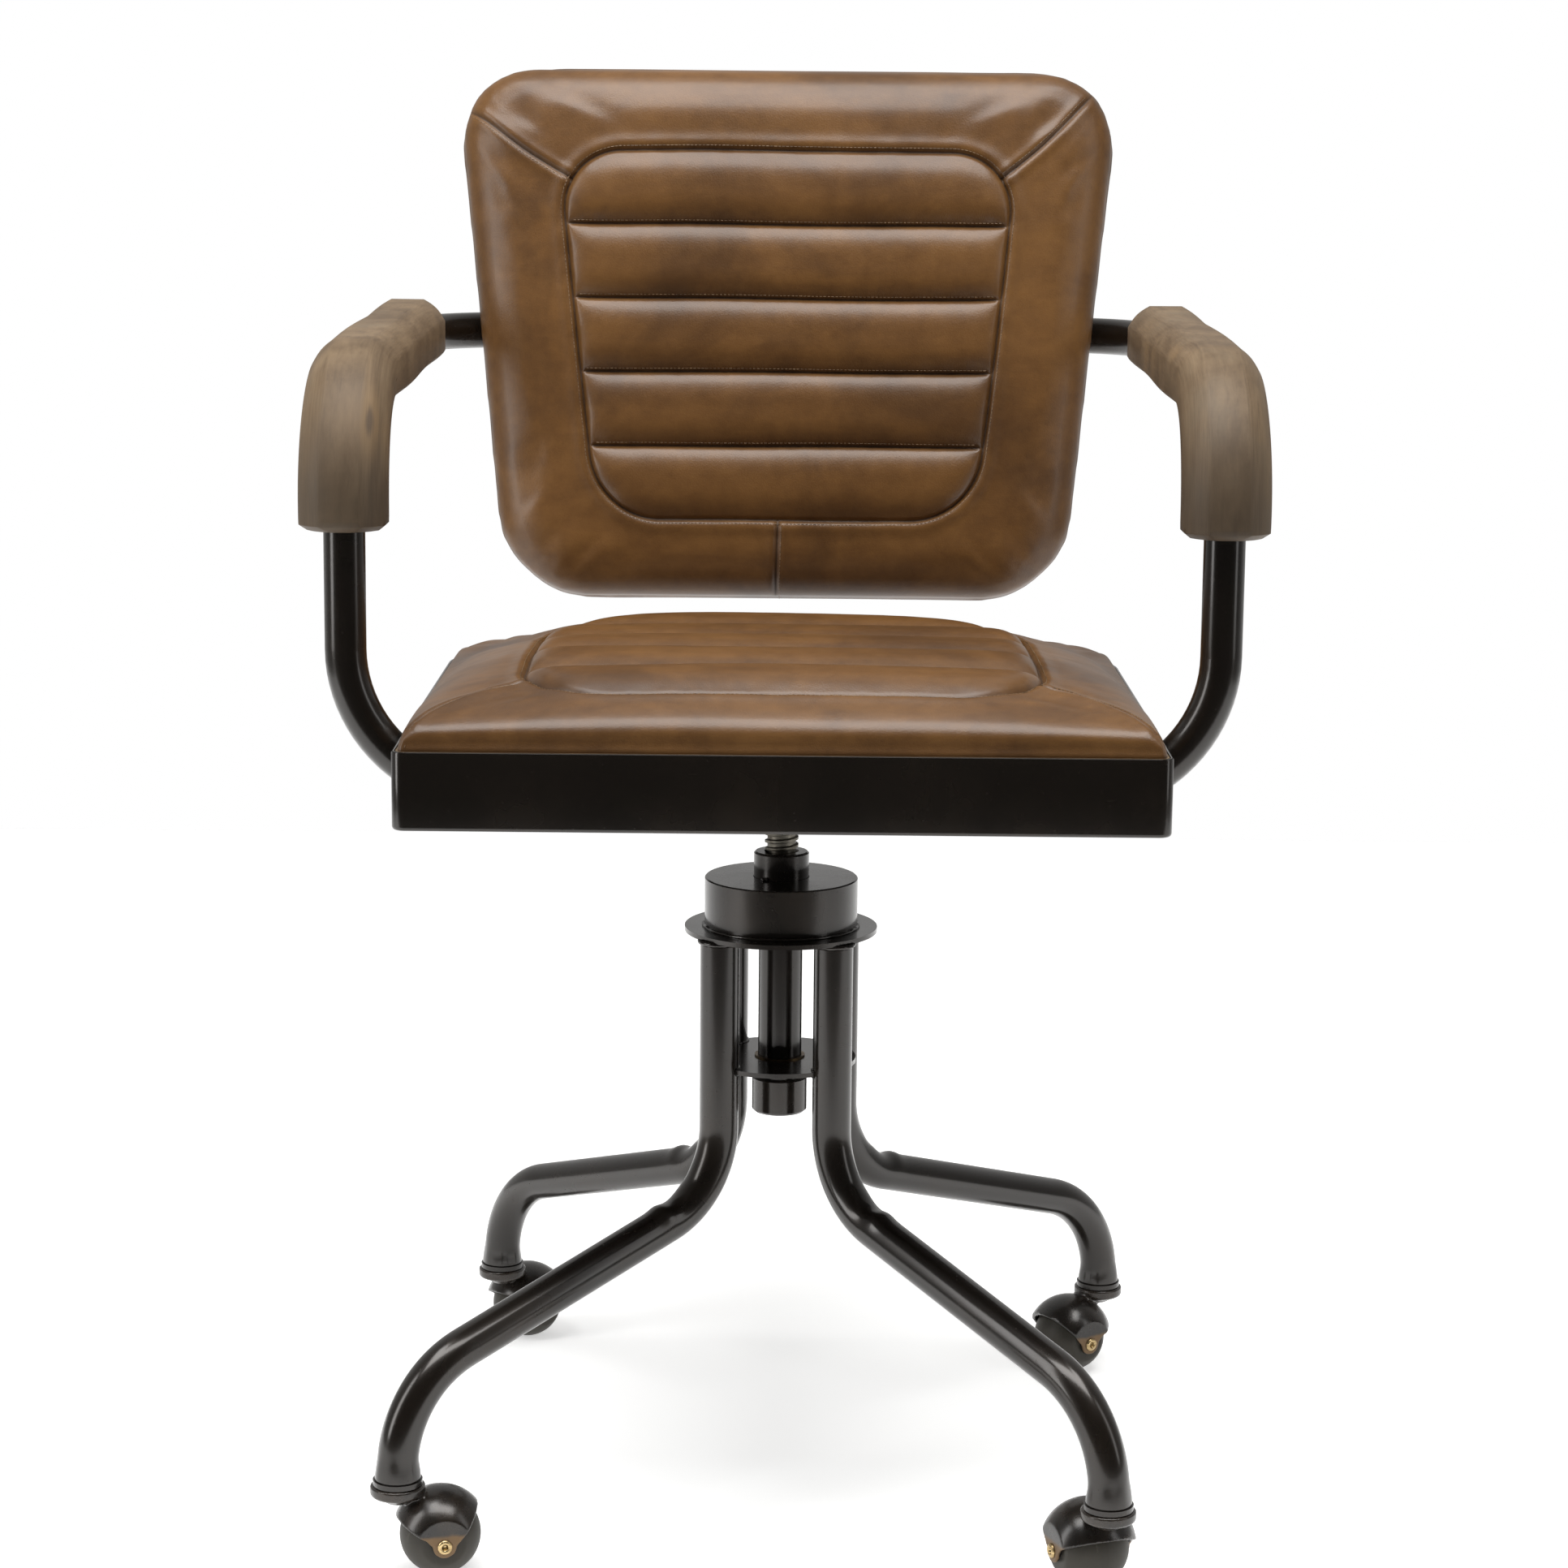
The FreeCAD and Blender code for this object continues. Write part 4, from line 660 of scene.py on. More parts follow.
def padded_block(name, outline_point, top, bottom, across=110, along=110):
    """A closed block: a grid of points inside an outline, with a height for each, over a flat base"""
    verts, faces = [], []
    for side in (0, 1):
        for j in range(along + 1):
            for i in range(across + 1):
                x, y = outline_point(2 * i / across - 1, 2 * j / along - 1)
                verts.append(Vector((x, y, bottom if side else top(x, y))))
    row = across + 1
    sheet = row * (along + 1)
    for j in range(along):
        for i in range(across):
            a = j * row + i
            faces.append((a, a + 1, a + row + 1, a + row))
            faces.append(tuple(sheet + k for k in (a, a + row, a + row + 1, a + 1)))
    rim = ([i for i in range(across)] + [j * row + across for j in range(along)]
           + [along * row + i for i in range(across, 0, -1)] + [j * row for j in range(along, 0, -1)])
    for a, b in zip(rim, rim[1:] + rim[:1]):
        faces.append((a, sheet + a, sheet + b, b))
    return new_piece(name, verts, faces, tan_leather)


def plump(piece, voxel, cap, held, pressure=4.0, smoothing=4):
    """Remeshes a block and lets cloth under pressure swell it, each point by no more than the cap"""
    remesh = piece.modifiers.new("remesh", "REMESH")
    remesh.mode = "VOXEL"
    remesh.voxel_size = voxel
    soften = piece.modifiers.new("soften", "SMOOTH")
    soften.iterations = smoothing
    plain = plain_mesh(piece)
    pins = piece.vertex_groups.new(name="pins")
    pins.add([vert.index for vert in plain.vertices if held(vert.co)], 1.0, "REPLACE")
    cloth = piece.modifiers.new("cloth", "CLOTH")
    cloth.settings.quality = 5
    cloth.settings.mass = 0.3
    cloth.settings.tension_stiffness = 12
    cloth.settings.compression_stiffness = 12
    cloth.settings.shear_stiffness = 6
    cloth.settings.bending_stiffness = 2.0
    cloth.settings.use_pressure = True
    cloth.settings.uniform_pressure_force = pressure
    cloth.settings.effector_weights.gravity = 0.0
    cloth.settings.vertex_group_mass = "pins"
    cloth.collision_settings.use_self_collision = False
    cloth.point_cache.frame_start = 1
    cloth.point_cache.frame_end = SWELL_STEPS
    for moment in range(1, SWELL_STEPS + 1):
        scene.frame_set(moment)
    graph = bpy.context.evaluated_depsgraph_get()
    swollen = bpy.data.meshes.new_from_object(piece.evaluated_get(graph))
    for vert, rest in zip(swollen.vertices, plain.vertices):
        moved = vert.co - rest.co
        if moved.length > cap:
            vert.co = rest.co + moved.normalized() * cap
    piece.modifiers.clear()
    piece.vertex_groups.clear()
    piece.data = swollen
    scene.frame_set(1)
    fine = piece.modifiers.new("fine", "SUBSURF")
    fine.levels = fine.render_levels = 1
    fine_mesh = plain_mesh(piece)
    fine_mesh.materials.clear()
    fine_mesh.materials.append(tan_leather)
    for face in fine_mesh.polygons:
        face.use_smooth = True
    return piece


SEAT = {"half": 0.2274, "front": -0.2256, "back": 0.2146, "near_corner": 0.010, "far_corner": 0.070}
SEAT_EDGE = 0.5285
SEAT_BASE = 0.5150


def seat_crown(x, y):
    """Height of the unsewn cushion's top, without its rolled edges"""
    front = min(1.0, (y + 0.2255) / 0.166)
    height = 0.5455 + 0.0068 * front * (2 - front)
    if front >= 1:
        height = 0.5523 - 0.010 * ((y + 0.06) / 0.275) ** 1.2
    return height - 0.006 * abs(x / 0.2275) ** 2.5


def seat_outline(a, b):
    tall, inner = (SEAT["back"] - SEAT["front"]) / 2, SEAT["far_corner"]
    middle = (SEAT["back"] + SEAT["front"]) / 2
    x, y = a * SEAT["half"], middle + b * tall
    over, up = abs(x) - (SEAT["half"] - inner), (y - middle) - (tall - inner)
    if over > 0 and up > 0:
        reach = max(over, up)
        spread = math.hypot(over, up)
        x = math.copysign(SEAT["half"] - inner + over / spread * reach, x)
        y = middle + tall - inner + up / spread * reach
    return x, y


def roll_height(inside, wide):
    """The rounded shoulder of a cushion: 0 at its edge and 1 where the top begins"""
    roll = min(1.0, max(0.0, inside / wide))
    return math.sqrt(max(0.0, 1 - (1 - roll) ** 2))


def seat_top(x, y):
    """A tight shoulder in front and a long slope to the two back corners"""
    inside = -rounded_distance(x, y, SEAT["half"], SEAT["front"], SEAT["back"], 0.010, 0.070)
    drawn_in = 0.224 - 0.0115 * smooth(-0.2, 0.06, y)
    sloped = 0.002 - rounded_distance(x, y, drawn_in, SEAT["front"], 0.2055, 0.010, 0.140)
    wide = 0.033 + 0.014 * smooth(-0.15, 0.1, y)
    share = 0.2 * roll_height(inside, 0.03) + 0.8 * roll_height(sloped, wide)
    corner_drop = 0.010 * smooth(0.135, 0.215, abs(x)) * smooth(0.03, 0.16, y)
    crown = seat_crown(x, y) - corner_drop
    return SEAT_EDGE + (crown - SEAT_EDGE) * share


seat = padded_block("sewn_seat", seat_outline, seat_top, SEAT_BASE)
SEAT_VOXEL = 0.0045
plump(seat, SEAT_VOXEL, CUSHION_CAP, lambda spot: spot.z < SEAT_HOLD)


def seam_valley(distance, width):
    return math.exp(-(distance / width) ** 2)


def curve_between(points, steps=40):
    """A smooth run through a few points"""
    points = [Vector(point) for point in points]
    found = []
    for index in range(len(points) - 1):
        p0, p1 = points[max(index - 1, 0)], points[index]
        p2, p3 = points[index + 1], points[min(index + 2, len(points) - 1)]
        for step in range(steps):
            t = step / steps
            found.append(0.5 * (2 * p1 + (p2 - p0) * t + (2 * p0 - 5 * p1 + 4 * p2 - p3) * t * t
                                + (3 * p1 - p0 - 3 * p2 + p3) * t ** 3))
    return found + [points[-1]]


def nearest_on(path, x, y):
    """Distance to a drawn seam in plan"""
    best = 1.0
    for first, second in zip(path, path[1:]):
        run = second - first
        share = ((x - first.x) * run.x + (y - first.y) * run.y) / (run.x ** 2 + run.y ** 2)
        share = min(1.0, max(0.0, share))
        best = min(best, math.hypot(x - first.x - run.x * share, y - first.y - run.y * share))
    return best


def channel_share(panel, y):
    """Which channel a line across the panel lies in, and how far up it"""
    place = (y - panel["front"]) / (panel["back"] - panel["front"]) * CHANNELS
    return place - math.floor(place)


def seam_distance(panel, outside, mitres, x, y):
    """How near a point lies to any seam: a channel's, the panel's outline or a mitre"""
    best = abs(outside)
    if outside < 0:
        share = channel_share(panel, y)
        best = min(best, min(share, 1 - share) * (panel["back"] - panel["front"]) / CHANNELS)
    elif outside < 0.09:
        for path in mitres:
            best = min(best, nearest_on(path, x, y))
    return best


def refine_seams(piece, distance, lowest, reaches):
    """Splits the faces near the seams finer, one round for each reach"""
    bm = bmesh.new()
    bm.from_mesh(piece.data)
    for reach in reaches:
        near = {vert.index for vert in bm.verts
                if vert.co.z > lowest and distance(vert.co.x, vert.co.y) < reach}
        edges = [edge for edge in bm.edges if any(vert.index in near for vert in edge.verts)]
        bmesh.ops.subdivide_edges(bm, edges=edges, cuts=1, use_grid_fill=True)
        bm.verts.index_update()
    bm.to_mesh(piece.data)
    bm.free()
    for face in piece.data.polygons:
        face.use_smooth = True


def sew(piece, panel, outside_at, mitres, low, high, puff, seed):
    """Draws the seams in, swells the channels between them and marks the seam lines and a painted shade
    with some burnish: darker low down, along the seams and under each channel
    """
    def distance(x, y):
        return seam_distance(panel, outside_at(x, y), mitres, x, y)

    refine_seams(piece, distance, low, (0.006, 0.0028))
    seam_mark = piece.data.attributes.new("seam", "FLOAT", "POINT")
    # The second mark is painted shade with a little burnish
    painted_shade_and_burnish_mark = piece.data.attributes.new("burnish", "FLOAT", "POINT")
    step = (panel["back"] - panel["front"]) / CHANNELS
    for vert, mark, burnish in zip(piece.data.vertices, seam_mark.data, painted_shade_and_burnish_mark.data):
        x, y, z = vert.co
        if z < low:
            # Painted shade: the cushion's lower sides are darkened by half
            burnish.value = 0.5
            continue
        upward = smooth(low, high, z)
        wander = SEAM_WANDER * noise.noise(Vector((x * 9, y * 9, seed)))
        outside = outside_at(x, y) + wander
        # Painted shade starts darker low on the sides, where less light falls
        lift, dark, shade = 0.0, 0.0, 0.3 * (1 - upward)
        if outside < 0:
            share = channel_share(panel, y + wander)
            middle = abs(2 * share - 1)
            ends = 1 - math.exp(outside / 0.006)
            lift += puff * (1 - middle ** 3.2) * ends - 0.0012 * ends
            across = min(share, 1 - share) * step
            inner = smooth(0.0, 0.005, -outside)
            lift -= 0.0013 * seam_valley(across, 0.0016) * inner
            dark = 0.8 * seam_valley(across, 0.0009) * inner
            # Painted shade under each channel: strongest just above each seam, weaker up the channel, as
            # from light above
            shade += 0.8 * math.exp(-across / 0.009) * (1 - 0.85 * share) * inner
            pucker = noise.noise(Vector((x * 110, y * 20, seed + 4)))
            lift += 0.0005 * pucker * math.exp(-across / 0.008) * inner
        lift -= 0.0021 * seam_valley(outside, 0.0017)
        lift += 0.0013 * seam_valley(outside - 0.0055, 0.0045)
        dark = max(dark, 0.9 * seam_valley(outside, 0.0007))
        # Painted shade along the panel's outline seam
        shade += 0.24 * math.exp(-abs(outside) / 0.006)
        ruck = noise.noise(Vector((x * 70, y * 70, seed + 8)))
        lift += 0.0006 * ruck * math.exp(-abs(outside) / 0.010)
        if outside > 0:
            near = min(nearest_on(path, x, y) for path in mitres) if outside < 0.09 else 1.0
            if near < 0.02:
                lift -= 0.0014 * seam_valley(near, 0.0017)
                lift += 0.0008 * seam_valley(near - 0.0045, 0.003)
                dark = max(dark, 0.75 * seam_valley(near, 0.0008))
                # Painted shade along the mitre seams
                shade += 0.35 * math.exp(-near / 0.006)
        lift += 0.0013 * noise.noise(Vector((x * 8, y * 10, seed + 12)))
        vert.co.z += lift * upward
        mark.value = dark * upward
        burnish.value = min(1.0, shade)


seat_mitres = [curve_between([(sign * 0.150, -0.152), (sign * 0.188, -0.176), (sign * 0.212, -0.203),
                              (sign * 0.2255, -0.2262)], 5) for sign in (-1, 1)]


def seat_outside(x, y):
    return rounded_distance(x, y, PANEL["half"], PANEL["front"], PANEL["back"], 0.060, 0.112)


sew(seat, PANEL, seat_outside, seat_mitres, 0.526, 0.541, 0.0092, 3.0)
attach(seat, "seat")
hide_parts("seat_cushion")


def drawn_seams(panel, outside_at, mitres, seed, gap=0.0026):
    """Lines in plan just beside the seams, where the thread shows"""
    def wander(x, y):
        return SEAM_WANDER * noise.noise(Vector((x * 9, y * 9, seed)))

    middle = (panel["front"] + panel["back"]) / 2
    outline = []
    for step in range(241):
        angle = 2 * math.pi * step / 240
        near, far = 0.02, 0.30
        for _ in range(26):
            reach = (near + far) / 2
            x, y = reach * math.cos(angle), middle + reach * math.sin(angle)
            if outside_at(x, y) + wander(x, y) < gap:
                near = reach
            else:
                far = reach
        outline.append((x, y))
    lines = [outline]
    for channel in range(1, CHANNELS):
        across = panel["front"] + (panel["back"] - panel["front"]) * channel / CHANNELS
        row = []
        for step in range(161):
            x = -0.2 + 0.4 * step / 160
            y = across + gap * 0.8 - wander(x, across)
            if outside_at(x, y) < -0.005:
                row.append((x, y))
        lines.append(row)
    for path in mitres:
        side = []
        for before, after in zip(path, path[1:]):
            run = (after - before).normalized()
            side.append((before.x - run.y * gap, before.y + run.x * gap))
        lines.append([spot for spot in side if outside_at(*spot) > gap])
    return lines


def lay_on(piece, lines, above, rise):
    """A mesh of edges: the lines dropped onto the leather"""
    surface = BVHTree.FromObject(piece, bpy.context.evaluated_depsgraph_get())
    verts, edges = [], []
    for line in lines:
        start = len(verts)
        for x, y in line:
            place, _, _, _ = surface.ray_cast(Vector((x, y, above)), Vector((0, 0, -1)))
            if place:
                verts.append(place + Vector((0, 0, rise)))
        edges += [(k, k + 1) for k in range(start, len(verts) - 1)]
    mesh = bpy.data.meshes.new("thread_line")
    mesh.from_pydata(verts, edges, [])
    return mesh


def waxed_thread():
    thread = Finish("waxed_thread", Roughness=0.55)
    twist = thread.noise(thread.spot(), 900.0, 2.0, 0.5)
    age = thread.noise(thread.spot(), 30.0, 3.0, 0.6)
    thread.set("Base Color", thread.mix((twist * 0.6 + age * 0.5).step(0.35, 0.75),
                                        (0.05, 0.024, 0.009, 1), (0.27, 0.17, 0.085, 1)))
    return thread.material


def stitching_tree(material):
    """Short threads set along any line: inputs are the pitch, the thread's length and its thickness"""
    tree = bpy.data.node_groups.new("stitching", "GeometryNodeTree")
    tree.interface.new_socket("Geometry", in_out="OUTPUT", socket_type="NodeSocketGeometry")
    tree.interface.new_socket("Geometry", in_out="INPUT", socket_type="NodeSocketGeometry")
    for title in ("Pitch", "Length", "Thickness"):
        tree.interface.new_socket(title, in_out="INPUT", socket_type="NodeSocketFloat")

    def add(kind, settings=None, inputs=None):
        made = tree.nodes.new(kind)
        for name, value in (settings or {}).items():
            setattr(made, name, value)
        for name, value in (inputs or {}).items():
            if isinstance(value, bpy.types.NodeSocket):
                tree.links.new(value, made.inputs[name])
            else:
                made.inputs[name].default_value = value
        return made

    given = add("NodeGroupInput").outputs
    line = add("GeometryNodeMeshToCurve", None, {"Mesh": given["Geometry"]})
    spots = add("GeometryNodeResampleCurve", {"mode": "LENGTH"},
                {"Curve": line.outputs["Curve"], "Length": given["Pitch"]})
    thread = add("GeometryNodeMeshCylinder", None,
                 {"Vertices": 6, "Radius": given["Thickness"], "Depth": given["Length"]})
    tangent = add("GeometryNodeInputTangent")
    aligned = add("FunctionNodeAlignRotationToVector", {"axis": "Z"}, {"Vector": tangent.outputs[0]})
    uneven = add("FunctionNodeRandomValue", {"data_type": "FLOAT"}, {"Seed": 5})
    next(k for k in uneven.inputs if k.identifier == "Min_001").default_value = 0.8
    next(k for k in uneven.inputs if k.identifier == "Max_001").default_value = 1.1
    value = next(k for k in uneven.outputs if k.enabled)
    placed = add("GeometryNodeInstanceOnPoints", None,
                 {"Points": spots.outputs["Curve"], "Instance": thread.outputs["Mesh"],
                  "Rotation": aligned.outputs["Rotation"], "Scale": value})
    real = add("GeometryNodeRealizeInstances", None, {"Geometry": placed.outputs["Instances"]})
    dyed = add("GeometryNodeSetMaterial", None,
               {"Geometry": real.outputs["Geometry"], "Material": material})
    add("NodeGroupOutput", None, {"Geometry": dyed.outputs["Geometry"]})
    return tree


STITCHING = stitching_tree(waxed_thread())
STITCH = {"Pitch": 0.0028, "Length": 0.0019, "Thickness": 0.00026}


def stitch(name, lines_mesh, stand=None):
    """Threads along the lines, as one plain mesh"""
    piece = bpy.data.objects.new(name, lines_mesh)
    scene.collection.objects.link(piece)
    laid = piece.modifiers.new("stitching", "NODES")
    laid.node_group = STITCHING
    for socket in STITCHING.interface.items_tree:
        if socket.name in STITCH:
            laid[socket.identifier] = STITCH[socket.name]
    plain = plain_mesh(piece)
    if stand:
        plain.transform(stand)
    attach(piece, "seat")
    return piece


seat_thread = lay_on(seat, drawn_seams(PANEL, seat_outside, seat_mitres, 3.0), 0.6, 0.00012)
stitch("seat_stitches", seat_thread)

# Arm frame: one tube welded to both sides of the pan, up, round the arms and behind the back.
ARM_CORNERS = [(0.2186, -0.130, 0.487), (0.267, -0.130, 0.5209), (0.267, -0.130, 0.724),
               (0.267, 0.316, 0.737)]
ARM_BENDS = [0.087, 0.072, 0.070]
dress(dark_lacquer, "arm_frame_tube", "back_brackets")
for sign in (-1, 1):
    ring = []
    lean = math.radians(35)
    for step in range(72):
        angle = 2 * math.pi * step / 72
        reach = TUBE_RADIUS + 0.0004
        ring.append(Vector((sign * 0.2306, -0.130 + reach * math.cos(angle),
                            0.4951 + reach * math.sin(angle) / math.cos(lean))))
    side = "left" if sign > 0 else "right"
    weld_bead(f"arm_weld_{side}", ring, 0.0017, dark_lacquer, "seat", 31.0 + sign)

# Armrests: two shaped bars of old hardwood, let in over the tube and screwed from below. They are
# planed to broad soft bevels, grey-brown and matt, with knots, cracks and darker ends.
WOOD_HALF = 0.026
WOOD_ABOVE = 0.026
WOOD_BELOW = 0.0135
WOOD_FOOT = 0.6395
WOOD_TAIL_TURN = 9.0


def old_hardwood():
    wood = Finish("old_hardwood", Specular_IOR_Level=0.3)
    fibre = wood.noise(wood.spot((5, 80, 1), "grain"), 7.0, 6.0, 0.68, 0.3)
    fine = wood.noise(wood.spot((20, 560, 1), "grain"), 3.0, 4.0, 0.6)
    figure = wood.noise(wood.spot((5, 16, 1), "grain"), 1.3, 5.0, 0.6, 2.2)
    cloud = wood.noise(wood.spot(), 17.0, 5.0, 0.65)
    knots = wood.cells(wood.spot((11, 21, 1), "grain"), 1.0, rand=0.9)
    knot = 1.0 - (knots + fibre * 0.1).step(0.09, 0.17)
    halo = 1.0 - (knots + cloud * 0.2).step(0.2, 0.42)
    cracks = 1.0 - wood.noise(wood.spot((7, 130, 1), "grain"), 1.4, 5.0, 0.8, 2.4).step(0.27, 0.33)
    tone = (fibre * 0.35 + figure * 0.45 + cloud * 0.35).step(0.38, 0.8)
    color = wood.mix(tone, (0.085, 0.054, 0.029, 1), (0.215, 0.148, 0.085, 1))
    color = wood.mix(fine.step(0.52, 0.75) * 0.3, color, (0.055, 0.037, 0.022, 1))
    color = wood.mix(cloud.step(0.5, 0.72) * 0.35, color, (0.11, 0.088, 0.06, 1))
    color = wood.mix(halo * 0.3, color, (0.3, 0.19, 0.09, 1))
    color = wood.mix(knot * 0.7, color, (0.06, 0.042, 0.03, 1))
    foot = wood.node("Attribute", {"attribute_name": "foot"})("Fac")
    color = wood.mix((foot + cloud * 0.6 - 0.3).step(0.15, 0.85) * 0.65, color, (0.045, 0.032, 0.021, 1))
    wood.set("Base Color", wood.mix(cracks * 0.6, color, (0.035, 0.024, 0.016, 1)))
    wood.set("Roughness", 0.5 + fibre * 0.12 + cracks * 0.2)
    wood.relief(fibre * 0.35 + fine * 0.2 - cracks * 0.8 - knot * 0.4, 0.3, 0.0006)
    return wood.material


hardwood = old_hardwood()


def wood_section(grow):
    """Section of the bar, across and up, open below for the tube; grow swells or shrinks its outside"""
    half, above, below = WOOD_HALF + grow, WOOD_ABOVE + grow, WOOD_BELOW + grow
    outside = [((-half, -below), 0.005), ((-half, above), 0.015), ((half, above), 0.015),
               ((half, -below), 0.005)]
    groove = TUBE_RADIUS + 0.0001
    points = [(-groove, -below), (-(half - 0.006), -below)]
    for (x, y), radius in outside:
        sx, sy = math.copysign(1, x), math.copysign(1, y)
        cx, cy = x - sx * radius, y - sy * radius
        start = {(-1, -1): 270, (-1, 1): 180, (1, 1): 90, (1, -1): 0}[(int(sx), int(sy))]
        for step in range(9):
            angle = math.radians(start - 90 * step / 8)
            facet = 0.7071 / math.cos(math.radians(45 - 90 * step / 8))
            soft = radius * (0.45 + 0.55 * facet)
            points.append((cx + soft * math.cos(angle), cy + soft * math.sin(angle)))
    points += [(half - 0.006, -below), (groove, -below), (groove, 0.0)]
    points += [(groove * math.cos(math.radians(a)), groove * math.sin(math.radians(a)))
               for a in range(15, 180, 15)]
    points.append((-groove, 0.0))
    return points


def armrest(name, sign):
    corners = [(0.267, -0.130, WOOD_FOOT), ARM_CORNERS[2], ARM_CORNERS[3], (0.0, 0.316, 0.737)]
    line = rounded_line(corners, ARM_BENDS[1:], 0.004)
    bend_start = 0.316 - ARM_BENDS[2]
    tail = bend_start + ARM_BENDS[2] * math.sin(math.radians(WOOD_TAIL_TURN))
    line = [point for point in line if point.y <= tail and point.x > 0.24]
    stations = frames_along(line, (1, 0, 0))
    length = sum((b - a).length for a, b in zip(line, line[1:]))
    verts, marks, way, last = [], [], 0.0, line[0]
    sides = len(wood_section(0))
    for number, (point, ahead, across, up) in enumerate(stations):
        way += (point - last).length
        last = point
        ends = min(way, length - way)
        inset = 0.0045
        short = max(0.0, inset - ends)
        grow = -inset + math.sqrt(max(0.0, inset ** 2 - short ** 2)) if ends < inset else 0.0
        grow += 0.0004 * math.sin(way * 31 + 1.0)
        up = -up if up.z < -0.01 or up.y > 0.5 else up
        for turn, (x, y) in enumerate(wood_section(grow)):
            verts.append(point + across * x + up * y)
            marks.append((way, turn / sides, max(0.0, 1 - way / 0.085)))
    piece = new_piece(name, verts, grid_faces(len(stations), sides), hardwood)
    mesh = piece.data
    grain = mesh.uv_layers.new(name="grain")
    for face in mesh.polygons:
        turns = [marks[vert][1] for vert in face.vertices]
        wraps = max(turns) - min(turns) > 0.5
        for loop, vert in zip(face.loop_indices, face.vertices):
            way, turn, _ = marks[vert]
            turn = turn + 1 if wraps and turn < 0.5 else turn
            along, round_it = (0.7, 0.4) if sign < 0 else (0.0, 0.0)
            grain.data[loop].uv = (way + along, turn * 0.21 + round_it)
    foot = mesh.attributes.new("foot", "FLOAT", "POINT")
    for vert, value in zip(mesh.vertices, foot.data):
        value.value = marks[vert.index][2]
    if sign < 0:
        mesh.transform(Matrix.Diagonal((-1, 1, 1, 1)))
        mesh.flip_normals()
    mesh.set_sharp_from_angle(angle=math.radians(50))
    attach(piece, "seat")
    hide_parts("armrest_left" if sign > 0 else "armrest_right")
    return piece


armrest("wood_rest_left", 1)
armrest("wood_rest_right", -1)

# Backrest: like the seat, a rounded padded block with a five-channel panel, on a board. Its rear is a
# leather-covered panel with a welt. It leans 8 degrees on two brackets welded to the tube.
RECLINE = math.radians(8)
BACK_SPOT = Vector((0, 0.316 - 0.0177 * math.cos(RECLINE), 0.737 + 0.0177 * math.sin(RECLINE)))
BACK_STAND = Matrix.Translation(BACK_SPOT) @ Matrix.Rotation(math.pi / 2 - RECLINE, 4, "X")
BACK = {"top": 0.185, "bottom": -0.1945, "top_half": 0.2396, "bottom_half": 0.2009,
        "top_corner": 0.060, "bottom_corner": 0.058}
BACK_PANEL = {"top": 0.122, "bottom": -0.138, "top_half": 0.162, "bottom_half": 0.134, "corner": 0.046}
BACK_FRONT = 0.0485


def side_reach(shape, y):
    share = (y - shape["bottom"]) / (shape["top"] - shape["bottom"])
    return shape["bottom_half"] + (shape["top_half"] - shape["bottom_half"]) * share


def tapered_distance(x, y, shape, top_corner, bottom_corner):
    """How far a point lies outside the tapered outline with rounded corners; inside it is negative"""
    middle = (shape["top"] + shape["bottom"]) / 2
    radius = top_corner if y > middle else bottom_corner
    slant = (shape["top_half"] - shape["bottom_half"]) / (shape["top"] - shape["bottom"])
    over = (abs(x) - side_reach(shape, y)) / math.hypot(1, slant) + radius
    up = (y - shape["top"] if y > middle else shape["bottom"] - y) + radius
    outside = math.hypot(max(over, 0.0), max(up, 0.0))
    return outside + min(max(over, up), 0.0) - radius


def back_outline(a, b, inset=0.0):
    middle = (BACK["top"] + BACK["bottom"]) / 2
    tall = (BACK["top"] - BACK["bottom"]) / 2 - inset
    y = middle + b * tall
    x = a * (side_reach(BACK, y) - inset)
    radius = BACK["top_corner"] if b > 0 else BACK["bottom_corner"]
    over = abs(x) - (side_reach(BACK, y) - inset - radius)
    up = abs(y - middle) - (tall - radius)
    if over > 0 and up > 0:
        reach, spread = max(over, up), math.hypot(over, up)
        x = math.copysign(side_reach(BACK, y) - inset - radius + over / spread * reach, x)
        y = middle + math.copysign(tall - radius + up / spread * reach, b)
    return x, y


def back_top(x, y):
    inside = -tapered_distance(x, y, BACK, BACK["top_corner"], BACK["bottom_corner"])
    crown = BACK_FRONT - 0.002 - 0.007 * (x / 0.24) ** 2 - 0.004 * (y / 0.19) ** 2
    roll = min(1.0, max(0.0, inside / 0.030))
    return 0.016 + (crown - 0.016) * math.sqrt(max(0.0, 1 - (1 - roll) ** 2))


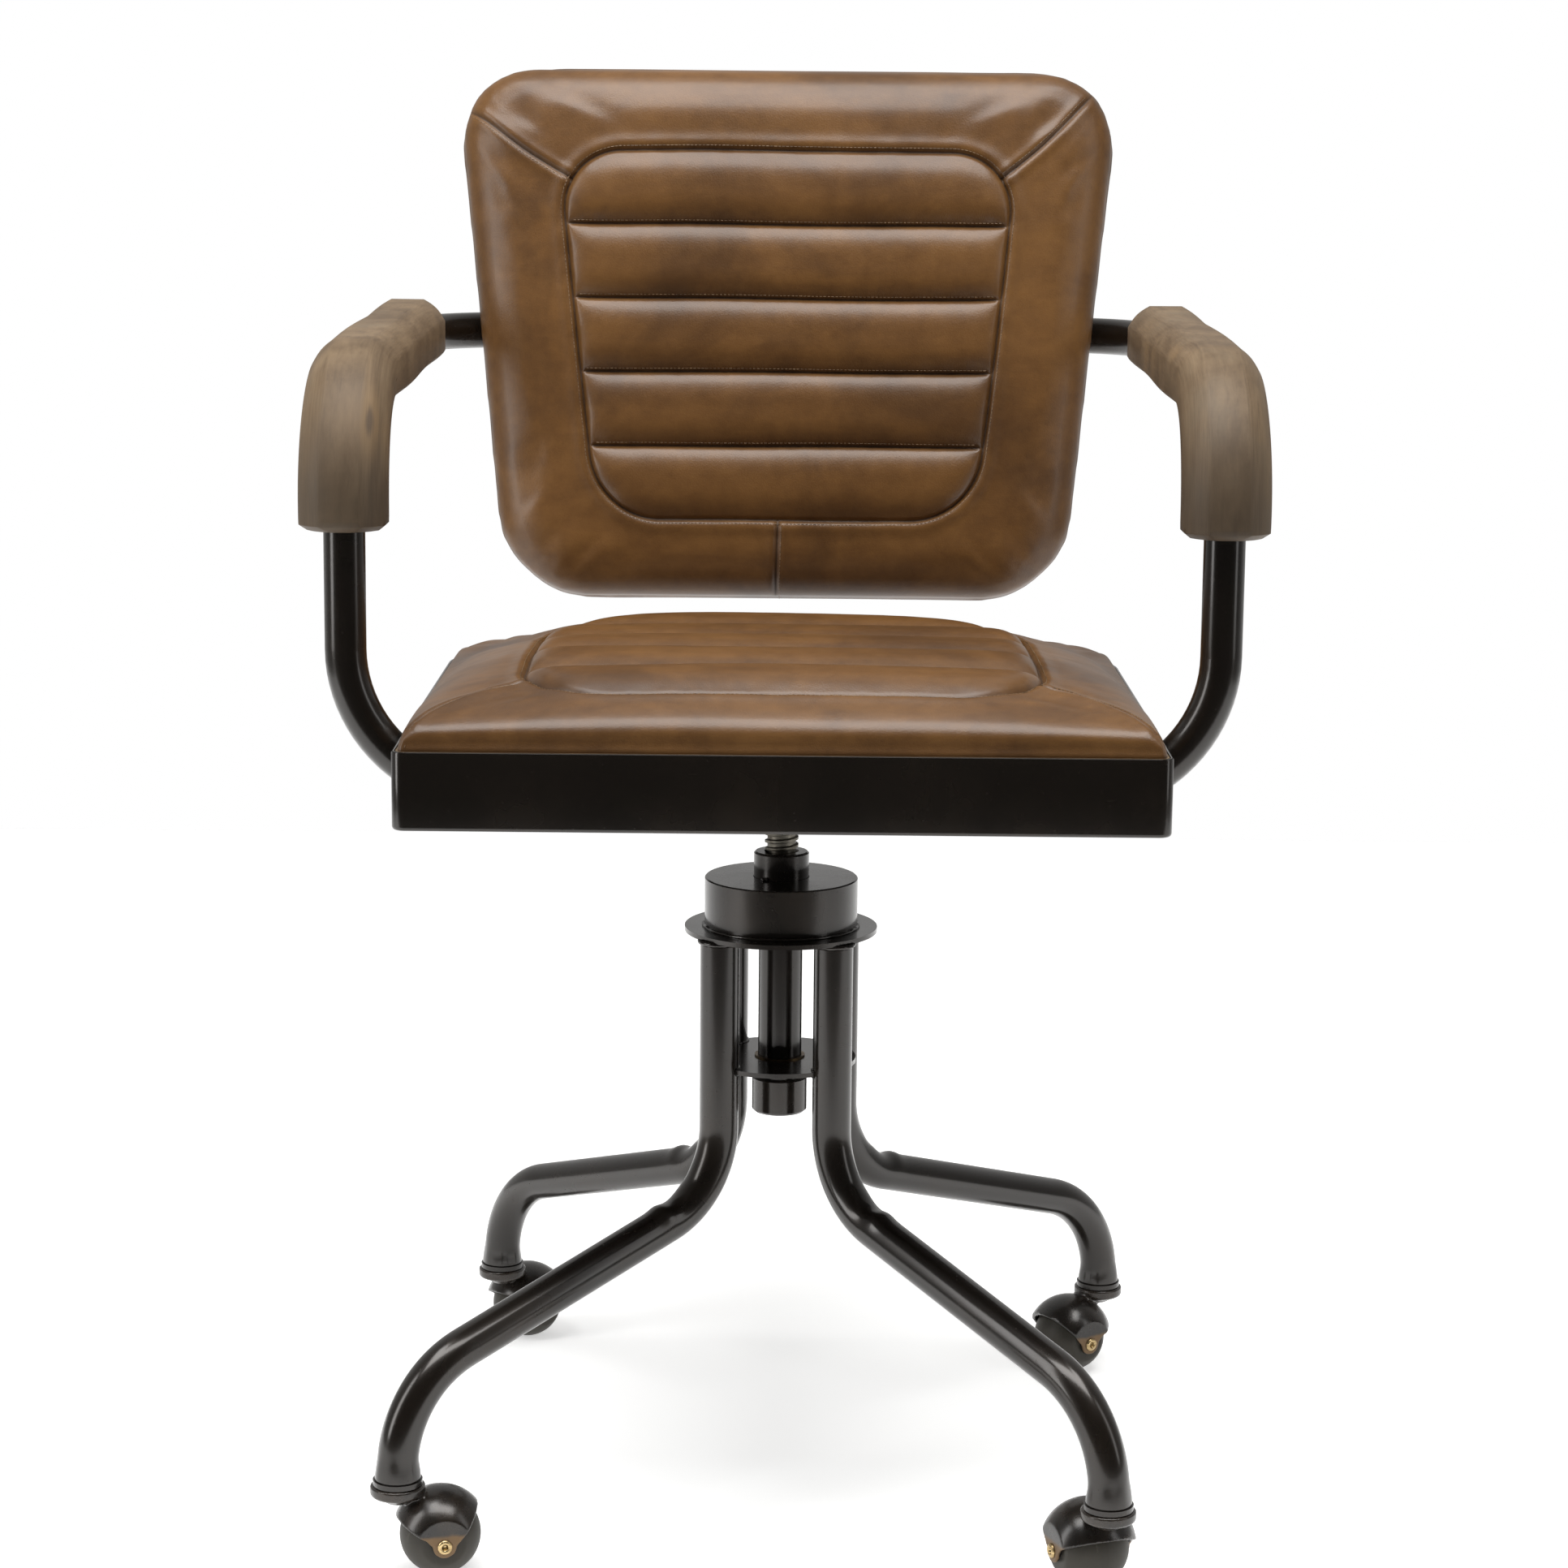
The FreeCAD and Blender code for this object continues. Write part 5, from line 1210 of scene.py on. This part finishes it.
back = padded_block("sewn_back", lambda a, b: back_outline(a, b, 0.0012), back_top, 0.0036)
BACK_VOXEL = 0.0042
BACK_HOLD = 0.006
plump(back, BACK_VOXEL, CUSHION_CAP, lambda spot: spot.z < BACK_HOLD)
back_mitres = [curve_between(path, 5) for path in
               ([(-0.152, 0.101), (-0.185, 0.121), (-0.213, 0.142), (-0.229, 0.152)],
                [(0.150, 0.103), (0.180, 0.128), (0.206, 0.155), (0.219, 0.170)],
                [(-0.005, -0.140), (-0.0055, -0.160), (-0.006, -0.180), (-0.006, -0.1945)])]
BACK_PANEL.update(front=BACK_PANEL["bottom"], back=BACK_PANEL["top"])


def back_outside(x, y):
    return tapered_distance(x, y, BACK_PANEL, BACK_PANEL["corner"], BACK_PANEL["corner"])


sew(back, BACK_PANEL, back_outside, back_mitres, 0.012, 0.034, 0.0068, 13.0)
back_thread = lay_on(back, drawn_seams(BACK_PANEL, back_outside, back_mitres, 13.0), 0.2, 0.00012)
back.data.transform(BACK_STAND)
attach(back, "seat")
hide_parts("back_cushion")
stitch("back_stitches", back_thread, BACK_STAND)


cover_steps = 60
loop = ([(-1 + 2 * k / cover_steps, -1) for k in range(cover_steps)]
        + [(1, -1 + 2 * k / cover_steps) for k in range(cover_steps)]
        + [(1 - 2 * k / cover_steps, 1) for k in range(cover_steps)]
        + [(-1, 1 - 2 * k / cover_steps) for k in range(cover_steps)])
cover_profile = [(0.0120, 0.0003), (0.0098, 0.0006), (0.0090, 0.0015), (0.0092, 0.0026),
                 (0.0105, 0.0031)]
verts = []
for inset, height in cover_profile:
    verts += [Vector((*back_outline(a, b, inset), height)) for a, b in loop]
cover = new_piece("rear_panel", verts, grid_faces(len(cover_profile), len(loop)), tan_leather)
cover.data.transform(BACK_STAND)
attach(cover, "seat")
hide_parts("back_cover")
WELT_RADIUS = 0.0019
welt_line = [Vector((*back_outline(a, b, 0.0092), 0.0012)) for a, b in loop]
welt = sweep("rear_welt", welt_line, (0, 0, 1), lambda way, angle: WELT_RADIUS, tan_leather, 12,
             closed=True)
welt.data.transform(BACK_STAND)
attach(welt, "seat")
